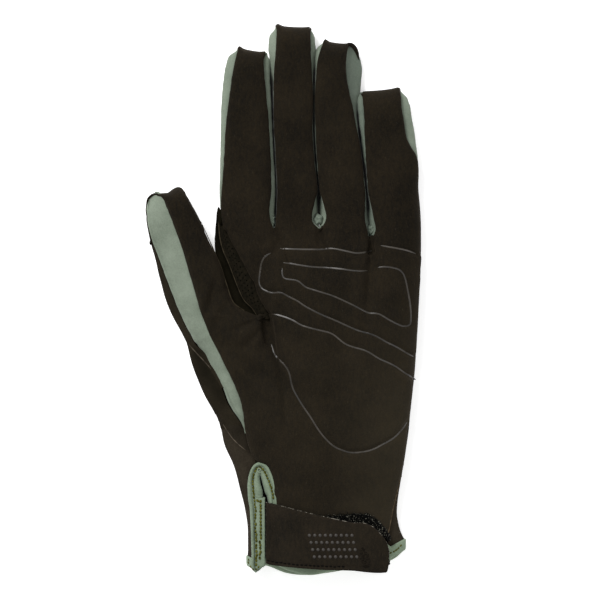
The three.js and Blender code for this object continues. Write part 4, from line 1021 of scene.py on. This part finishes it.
gussetPiece("thumbGusset", thumbGussetRows(), "thumb_gusset")
indexEdges = [part[::-1] for part in gussetEdges("index", 0, 90, web["gussetEnd"])]
gussetPiece("indexOuterGusset", stripRows(*indexEdges), "index_outer_gusset")
gussetPiece("littleOuterGusset", stripRows(*gussetEdges("little", 1, 50, shape["littleGussetEnd"])),
            "little_outer_gusset")
# The gusset between ring and little finger takes the darker sage copy, which paints shade
for first, second in zip(fingerNames, fingerNames[1:]):
    name, node = f"{first}{second.capitalize()}Gusset", f"{first}_{second}_gusset"
    gussetPiece(name, betweenFingers(first, second), node, "sageShade" if first == "ring" else "sageStretch",
                shade=gapShade(first, second))
print("gussets made")

# Crotch between index and thumb: a perforated patch and a plain web
holes = {"along": 84, "every": 3, "size": 0.46, "margin": 2, "shadeBelow": 0.35}


def perforate(name, rows, facing):
    bm = newCloth()
    gridInto(bm, rows, facing)
    bm.verts.ensure_lookup_table()
    cols = rows.shape[1]
    chosen = []
    for k, vert in enumerate(bm.verts):
        row, col = divmod(k, cols)
        inField = holes["margin"] < row < len(rows) - 3 and holes["margin"] < col < cols - 3
        if inField and row % holes["every"] == 0 and (col + row // holes["every"]) % 3 == 0:
            chosen.append(vert)
    made = bmesh.ops.bevel(bm, geom=chosen, offset=holes["size"] / 1000, offset_type="OFFSET", segments=2,
                           profile=0.5, affect="VERTICES", material=-1)
    bmesh.ops.delete(bm, geom=made["faces"], context="FACES")
    finishPiece(name, bm, "patchMesh", ["crotch_patch"], 0.5)


# Painted shade: the web darkens to near black along its seam with the patch, under the ridge
def webShade(at):
    return 0.9 * bell(alongLine(webSeam, at[:, :2])[0], 0.9)


longSeam = webSeam + [crotchEnds["seam"]]
patchRows, patchFacing = bandRows(suedeCrotch, curve(longSeam), holes["along"], web["patch"], steps=13)
perforate("crotchPatch", patchRows, patchFacing)
# A near-black sheet under the patch paints the shade seen through its holes
clothPiece("patchHoleShade", [patchRows[:, 1:-1] - (0, 0, 0.5 + holes["shadeBelow"])], 0.3, "darkLining", (),
           rim=0.0)
webRows = bandRows(curve(longSeam), curve(webEdge + [crotchEnds["edge"]]), 60, web["web"], -0.1)
gussetPiece("thumbWeb", webRows, "thumb_web", "webStretch", webShade)
print("crotch made")

# Bindings: folded tape round the slit and round the hem
slit = {
    "outer": [(-2.3, 5.6), (-2.6, 31), (-3.6, 40), (-6.5, 47.4), (-10.2, 49.6), (-13.6, 47.2), (-15.3, 41.5),
              (-15.3, 34.9), (-14.4, 28), (-13.9, 16), (-13.7, 8.4), (-13.7, 3.6), (-12, 1.5)],
    "inner": [(-5.4, 5.6), (-6.5, 31), (-7.9, 36.5), (-8.9, 40), (-9.8, 43.4), (-10.2, 43), (-9.8, 40.4),
              (-9, 36.9), (-8.7, 30), (-8.7, 16), (-8.6, 8.4), (-8.7, 4.9), (-9.6, 3.2)],
    "profile": [(0.02, -0.35), (-0.01, 0), (0.02, 0.4), (0.08, 0.6), (0.15, 0.6), (0.22, 0.34), (0.27, -0.3),
                (0.34, -0.5), (0.44, -0.5), (0.5, 0), (0.6, 0.42), (0.74, 0.36), (0.86, -0.05), (0.94, -0.6),
                (1, -1.2), (0.98, -1.8), (0.85, -2.1), (0.4, -2.15), (0.06, -2.15)],
    "stitch": 0.4, "z": 9.0, "left": -15.3, "slope": 0.17,
}


# Height of the binding, which leans a little
def bindingTop(x):
    return slit["z"] + (x - slit["left"]) * slit["slope"]


def onBinding(plan):
    return np.column_stack([plan, bindingTop(plan[:, 0])])


def crimpTape(at, toRim, facing):
    return 0.12 * ripple(at, 1.9) * ease(toRim / 0.6)


share = shares(160)
upwards = np.tile((0.0, 0.0, 1.0), (len(share), 1))
slitRows = tape(*(onBinding(curve(slit[edge])(share)) for edge in ("outer", "inner")), upwards, slit["profile"])
clothPiece("slitBinding", [slitRows], 0.5, "sageBinding", ["slit_binding"], rim=0.0,
           relief=crimpTape)

hem = {
    "width": 4.3, "widthRight": 4.7, "widensAt": 38, "widensBy": 8, "step": 0.7, "floor": 0.03,
    "profile": [(-0.12, 0.02), (-0.1, 0.5), (0.02, 0.64), (0.3, 0.62), (0.6, 0.6), (0.82, 0.5), (0.95, 0.15),
                (1, -0.5), (0.95, -1.15), (0.8, -1.6), (0.5, -1.72), (0.1, -1.7)],
}


def hemRows():
    top, bottom = palmBlocks()[-1][-1], backHeel[-1][::-1]
    path = np.concatenate([top, bottom[2:]])
    run = runAlong(path)
    at = np.arange(0.0, run[-1], hem["step"])
    path = pointsAt(path, run, at)
    tangent = np.gradient(path, axis=0)
    normal = np.stack([-tangent[:, 2], 0 * at, tangent[:, 0]], -1)
    normal /= np.linalg.norm(normal, axis=1)[:, None]
    width = mix(hem["width"], hem["widthRight"], ease((path[:, 0] - hem["widensAt"]) / hem["widensBy"]))
    rows = tape(path, path - np.column_stack([0 * width, width, 0 * width]), normal, hem["profile"])
    rows[..., 2] = np.maximum(rows[..., 2], hem["floor"])
    return rows, normal[:, None] + np.zeros_like(rows)


rows, facing = hemRows()
clothPiece("hemBinding", [rows], 0.45, "hemTape", ["hem_binding"], facing, rim=0.0)
print("bindings made")

# Closure: loops on the palm, hooks under the tab, the tab with its lining, and the strip that sews it down
closure = {
    "top": [(-7.5, 32.1), (-1.9, 30.9), (15.6, 26.6), (29.2, 23.7), (34.6, 23.4), (38.8, 21.8), (42, 18.9),
            (44.6, 15.4), (45.8, 11.4)],
    "bottom": [(-7.5, 5.7), (-3.5, 4.8), (16, 3.2), (29.2, 2.8), (35.8, 2.1), (39.5, 1.8), (43.3, 1.8),
               (45.2, 2.6), (45.7, 7.4)],
    "startLift": 1.9, "lift": 4.5, "run": 15.0, "level": 15.2, "endAt": 43.0, "readUp": 17.0, "wall": 1.1,
    "startAt": -7.3, "levelFrom": -1.0, "readLeftOf": 44.0, "readAbove": 9.0, "missing": 11.0,
    "loopTop": [(9, 25.4), (24.9, 26.4), (34.6, 26.8), (39.2, 25), (43.2, 21.2), (46.3, 17)],
    "loopBottom": [(9, 10.2), (24.9, 9.6), (34.6, 11), (39.2, 12.6), (43.2, 13.4), (45.3, 14.2)],
    "loopLift": 1.3, "hookTop": [(11, 23), (25, 22.4), (34.5, 21.4), (40, 18.4)],
    "hookBottom": [(11, 12), (25, 12), (34.5, 13), (40, 15)], "hookLift": 2.5,
}


def standing(plan, heightAt):
    return raised(plan, np.array([[heightAt(x, up) for x, up in row] for row in plan]))


# A ribbon between two lines in plan, with a height for each place
def ribbon(first, second, along, across, heightAt):
    t, u = shares(along), shares(across)
    return standing(between(curve(first)(t), curve(second)(t), u), heightAt)


def cuffHeight(x, up):
    return heightOn("palmPanel", min(x, closure["readLeftOf"]), max(up, closure["readAbove"]), closure["missing"])


tabLevels = {}


def tabHeight(x, up):
    key = round(x, 1)
    if key not in tabLevels:
        under = cuffHeight(min(max(x, closure["levelFrom"]), closure["endAt"]), closure["readUp"])
        level = max(under + closure["lift"], closure["level"])
        fromStart = ease((x - closure["startAt"]) / closure["run"])
        tabLevels[key] = mix(bindingTop(x) + closure["startLift"], level, fromStart)
    return tabLevels[key]


tabSeam = [(-6.9, 7.2), (-3.5, 6.3), (7.4, 5.3), (16.1, 4.8), (27.1, 4.5), (37, 4.2)]


def softenTab(at, toRim, facing):
    groove = bell(alongLine(tabSeam, at[:, :2])[0], 0.7)
    return 0.3 * (ripple(at, 8.0) - groove - np.clip(1 - toRim / 1.0, 0, 1) ** 2)


# The tab's own edge, moved out a little for its lining
def liningEdge(side, move, corner):
    return [(x, up + move) for x, up in closure[side][:-1]] + [corner]


for name, kind, faces, thickness, material, node in (
        ("loopField", "loop", (50, 20), 0.8, "loopBase", "loop_field"),
        ("hookPad", "hook", (40, 14), 0.7, "hookNylon", "hook_pad")):
    rows = ribbon(closure[kind + "Bottom"], closure[kind + "Top"], *faces,
                  lambda x, up: cuffHeight(x, up) + closure[kind + "Lift"])
    clothPiece(name, [rows], thickness, material, [node])
clothPiece("closureTab", [ribbon(closure["bottom"], closure["top"], 110, 50, tabHeight)], closure["wall"],
           "tabSuede", ["closure_tab"], rim=0.35, relief=softenTab)
rows = ribbon(liningEdge("bottom", -0.028, (46.0, 7.4)), liningEdge("top", 0.14, (46.1, 11.5)), 110, 30,
              lambda x, up: tabHeight(x, up) - closure["wall"] + 0.1)
clothPiece("tabLining", [rows], 0.5, "paleLining", (), rim=0.12)

anchor = {"left": (-12.0, 34.0, 2.3), "right": (-7.85, 34.2, 4.5), "lift": 0.75, "endDrop": 0.3,
          "profile": [(0.2, -1), (0.02, -0.8), (-0.01, -0.35), (0.03, 0), (0.14, 0.16), (0.38, 0.2),
                      (0.62, 0.2), (0.86, 0.16), (0.97, 0), (1.01, -0.5), (0.98, -1.1), (0.8, -1.3)]}
share = shares(60)
sides = [onBinding(np.column_stack([np.full_like(share, x), mix(top, foot, share)])) + (0, 0, anchor["lift"])
         for x, top, foot in (anchor["left"], anchor["right"])]
anchorRows = tape(*sides, upwards[:len(share)], anchor["profile"])
anchorRows[[0, -1], :, 2] -= anchor["endDrop"]
clothPiece("tabAnchor", [anchorRows], 0.5, "sageBinding", ["tab_anchor"], rim=0.0, relief=crimpTape)
print("closure made")

# Pressed lines: thin glossy ribbons that lie in the grooves of the palm. Across a line there are five points, by
# shares of its half width and by their lift
pressed = {"half": 0.48, "offsets": np.array([-1, -0.6, 0, 0.6, 1]), "lifts": (-0.14, 0.05, 0.03, 0.05, -0.14)}


def pressedLines():
    bm = newCloth()
    for line in padLines.values():
        path = evenly(line, 0.55)
        tangent = np.gradient(path, axis=0)
        side = np.stack([-tangent[:, 1], tangent[:, 0]], -1) / np.linalg.norm(tangent, axis=1)[:, None]
        ends = np.minimum(np.arange(len(path)), np.arange(len(path))[::-1])
        half = pressed["half"] * quarterRound((ends + 0.4) / 7)
        plan = path[:, None] + side[:, None] * (half[:, None] * pressed["offsets"])[..., None]
        rows = standing(plan, lambda x, up: heightOn("palmPanel", x, up, 7.0))
        rows[..., 2] += pressed["lifts"]
        gridInto(bm, rows, (0, 0, 1))
    finishPiece("pressedLines", bm, "pressedLine", (), 0.2)


pressedLines()

# Stitches: olive on the bindings, black along the tab, and a small brown tack
share = np.linspace(0.1, 0.94, 60)
slitSeam = mix(*(curve(slit[edge])(share) for edge in ("outer", "inner")), slit["stitch"])
seams = {
    "binding": [slitSeam, [(-9.9, 33), (-9.7, 19.6), (-10.3, 7)], [(-11.6, 33.3), (-10.6, 32.6), (-9.2, 33.2)]],
    "hem": [[(46.3, 9.6), (49, 11.4), (52.2, 13.6)],
            [(-15.2, 7.2), (-14.8, 5.4), (-13.4, 3.6), (-11.6, 2.9), (-10.6, 4.4)]],
    "tack": [(34.4 + 0.09 * k + 2.2 * (-1) ** k * math.sin(math.pi * (k + 1.5) / 21), 13.0 - 0.52 * k)
             for k in range(19)],
}
runs = []
for key, on, pitch, radius, wobble, firstSeed in (
        ("binding", ["slitBinding", "tabAnchor"], 1.45, 0.5, 0.12, 0),
        ("hem", ["hemBinding", "slitBinding", "tabAnchor"], 1.4, 0.33, 0.2, 20)):
    for seed, line in enumerate(seams[key], firstSeed):
        runs += stitchRow(line, on, pitch, radius, wobble, seed)
threads("bindingStitches", runs, "oliveThread", 3)
for name, line, radius, thread in (("tabStitches", tabSeam[:-1], 0.3, "blackThread"),
                                   ("tabTack", seams["tack"], 0.2, "tackThread")):
    threads(name, stitchRow(line, ["closureTab"], 1.8, radius, 0.08, 40), thread, 3)

# Loops: short arches of thread on the loop field, close together where they show above the tab
loops = {"count": 2600, "height": 1.2, "span": 0.8, "radius": 0.13}


def loopRuns():
    rng = np.random.default_rng(7)
    top, bottom = curve(closure["loopTop"]), curve(closure["loopBottom"])
    runs = []
    for _ in range(loops["count"]):
        t, depth = rng.random(), rng.random() ** 1.3 * 0.4 - 0.02
        x, up = mix(top(np.array(t)), bottom(np.array(t)), depth)
        up += rng.normal(0, 0.3)
        ground = heightOn("loopField", x, up, cuffHeight(x, up) + 0.7)
        turn, lean = rng.random() * math.pi, rng.normal(0, 0.25, 2)
        step = loops["span"] * (0.6 + 0.8 * rng.random()) * np.array([math.cos(turn), math.sin(turn)]) / 2
        rise = loops["height"] * (0.6 + 0.7 * rng.random())
        points = [(x + step[0] * s + lean[0] * h, up + step[1] * s + lean[1] * h, ground - 0.1 + rise * h)
                  for s, h in ((-1, 0), (-1.15, 0.6), (0, 1), (1.15, 0.6), (1, 0))]
        runs.append((np.array(points), [loops["radius"]] * 5))
    return runs


threads("loopPile", loopRuns(), "loopNylon", 2)
print("stitches and loops made")

# Grip dots on the tab
dots = {"rows": 4, "columns": 9, "from": (13.5, 8.8), "step": (2.3, 3.1), "slant": 0.225, "radius": 0.75,
        "height": 0.35}


def gripDots():
    bm = bmesh.new()
    for row in range(dots["rows"]):
        for col in range(dots["columns"]):
            x = dots["from"][0] + dots["step"][0] * col - dots["slant"] * dots["step"][1] * row
            up = dots["from"][1] + dots["step"][1] * row
            z = heightOn("closureTab", x, up, 14.0)
            dot = bmesh.ops.create_uvsphere(bm, u_segments=12, v_segments=6, radius=dots["radius"] / 1000)
            bmesh.ops.scale(bm, verts=dot["verts"], vec=(1, 1, dots["height"] / dots["radius"]))
            bmesh.ops.translate(bm, verts=dot["verts"], vec=toMetres((x, up, z)))
    finishPiece("gripDots", bm, "gripRubber", ())


gripDots()

# Cloth bunched into small lumps: at the end of the index finger's gusset, on the thumb, and where a gusset turns
# from one finger to the next. Of each: place, size, height and slant
bunches = {
    "seamLumps": ([((-27.5, 156.4), (1.25, 3.7, 1.3), 8.9, -0.14),
                   ((-57.5, 145.2), (0.75, 1.2, 0.9), 4.6, 0.1)], 20, 14, "webStretch", "back_stretch"),
    # The crotch knots take the darker sage copy: painted shade
    "gussetKnots": ([((-4.5, 154.4), (1.1, 2.6, 2.2), 6.4, 0.0), ((15.1, 154.9), (2.3, 2.5, 2.4), 6.3, 0.0),
                     ((38.1, 150.4), (1.7, 2.3, 2.2), 6.0, 0.0)], 36, 24, "sageShade", "gusset_stretch"),
}


# How much a lump swells at a place on it, and how far it is sunk there
def wrinkled(at, x):
    return 1 + 0.22 * noise.noise(at * 1800), 0.0


def pleated(at, x):
    turn, out = math.atan2(at.y, at.x), math.hypot(at.x, at.y) * 1000
    pleats = 0.12 * math.sin(5 * turn + 3 * out + x) * out + 0.2 * noise.noise(at * 1500 + Vector((x, 0, 0)))
    return 1 + pleats, 0.0007 * bell(out, 0.3)


for (name, (lumps, around, high, material, slot)), surface in zip(bunches.items(), (wrinkled, pleated)):
    bm = newCloth()
    for (x, up), size, z, slant in lumps:
        made = bmesh.ops.create_uvsphere(bm, u_segments=around, v_segments=high, radius=0.001)["verts"]
        for vert in made:
            swell, sunk = surface(vert.co, x)
            vert.co = Vector(a * b for a, b in zip(vert.co, size)) * swell
            vert.co += Vector((slant * vert.co.y, 0, -sunk))
        bmesh.ops.translate(bm, verts=made, vec=toMetres((x, up, z)))
    finishPiece(name, bm, material, ())

# Turned edges that show as narrow rims: over the thumb's and the ring finger's gussets, and along the web
rims = {
    "thumb": ([(-53, 164.9, 8.6), (-55.2, 166.1, 7.2), (-57.3, 165.5, 6.3), (-58.9, 163.8, 5.8),
               (-59.6, 160.8, 5.4)], (0.3, 0.5, 0.5, 0.42, 0.2)),
    "ring": ([(28, 231.4, 6.4), (29.8, 231, 5.8), (31.2, 229.6, 5.5), (32.2, 227.5, 5.3), (32.9, 224.6, 5.1)],
             (0.6, 0.95, 0.95, 0.65, 0.2)),
    "palmEdge": ([(x - 0.1, up, z - 0.05) for x, up, z in heelRight[4:]], (0.08, 0.2, 0.24, 0.24)),
    "thumbEdge": ([(x - 0.3, up, 9.4) for x, up in thumb["right"][2:8]], (0.1, 0.2, 0.24, 0.24, 0.2)),
}
webRidge = {"radii": (0.24, 0.3, 0.24, 0.2, 0.18, 0.14), "z": 7.65}


def rimRuns(line, radii):
    path = evenly(line, 0.5)
    return [(path, np.interp(np.linspace(0, 1, len(path)), np.linspace(0, 1, len(radii)), radii))]


for name, keys, material in (("tipRims", ["thumb", "ring"], "palmSuede"),
                             ("thumbEdge", ["thumbEdge"], "edgeSuede"), ("palmEdge", ["palmEdge"], "paleEdge")):
    threads(name, sum((rimRuns(*rims[key]) for key in keys), []), material, 5)
# Pale threads along the back's seams at the left edge: small raised rims whose pale colour paints the highlight
# on the turned edges
runs = []
for line in (leftEdge["seam"][1:-1], leftEdge["thumbSeam"]):
    path = evenly(line, 0.8)
    heights = [max(heightOn(name, x, up, 6.4) for name in ("backPanel", "backCuff", "thumbBack"))
               for x, up in path]
    runs.append((np.column_stack([path, heights]),
                 np.interp(np.linspace(0, 1, len(path)), (0, 0.2, 0.8, 1), leftEdge["highlightRadii"])))
threads("cuffSeamHighlight", runs, "seamEdge", 5)

# The binding's end, rolled up at the top of the slit
curl = {"middle": (-10.3, 46.2), "outer": 1.15, "inner": 0.1, "turns": 1.25, "start": 2.6, "radius": 0.3,
        "lift": 0.62}
share = shares(39)
turn = share * 2 * np.pi * curl["turns"] + curl["start"]
wind = mix(curl["outer"], curl["inner"], share)
wound = np.column_stack([wind * np.sin(turn), wind * np.cos(turn)]) + curl["middle"]
threads("tapeCurl", [(onBinding(wound) + (0, 0, curl["lift"]), [curl["radius"]] * len(wound))], "sageBinding",
        5)
ridge = [(x, up, webRidge["z"]) for x, up in longSeam]
threads("webRidge", rimRuns(ridge, webRidge["radii"]), "edgeSuede", 5)

# Stage

camera = {"distance": 2.2, "view": 0.2618, "centre": (0.0074, -0.0002)}
light = {"world": 0.42, "floorGlow": 0.5,
         "lamps": [("keyLight", (-0.6, 0.8, 1.0), 20, 0.6), ("fillLight", (0.7, -0.3, 1.2), 5, 0.9)]}


def makeStage():
    bm = bmesh.new()
    bmesh.ops.create_grid(bm, x_segments=1, y_segments=1, size=3.0)
    paper = Shader("paper", Base_Color=linear((250, 250, 250)), Roughness=0.9, Specular_IOR_Level=0.1,
                   Emission_Color=(1, 1, 1, 1), Emission_Strength=light["floorGlow"])
    floor = newObject("floor", newMesh("floor", bm))
    floor.data.materials.append(paper.material)
    scene, world = bpy.context.scene, bpy.data.worlds.new("studio")
    scene.world = world
    world.use_nodes = True
    for key, value in (("Color", (1, 1, 1, 1)), ("Strength", light["world"])):
        world.node_tree.nodes["Background"].inputs[key].default_value = value
    for name, place, power, size in light["lamps"]:
        lamp = bpy.data.lights.new(name, "AREA")
        lamp.energy, lamp.size = power, size
        holder = newObject(name, lamp)
        holder.location = place
        holder.rotation_euler = (-Vector(place)).to_track_quat("-Z", "Y").to_euler()
    lens = bpy.data.cameras.new("camera")
    lens.sensor_width = 36.0
    lens.lens = 36.0 * camera["distance"] / camera["view"]
    lens.clip_start, lens.clip_end = 0.1, 20
    scene.camera = newObject("camera", lens)
    scene.camera.location = (*camera["centre"], camera["distance"])
    scene.view_settings.view_transform = "Standard"


makeStage()

print("pieces:", len(pieces))
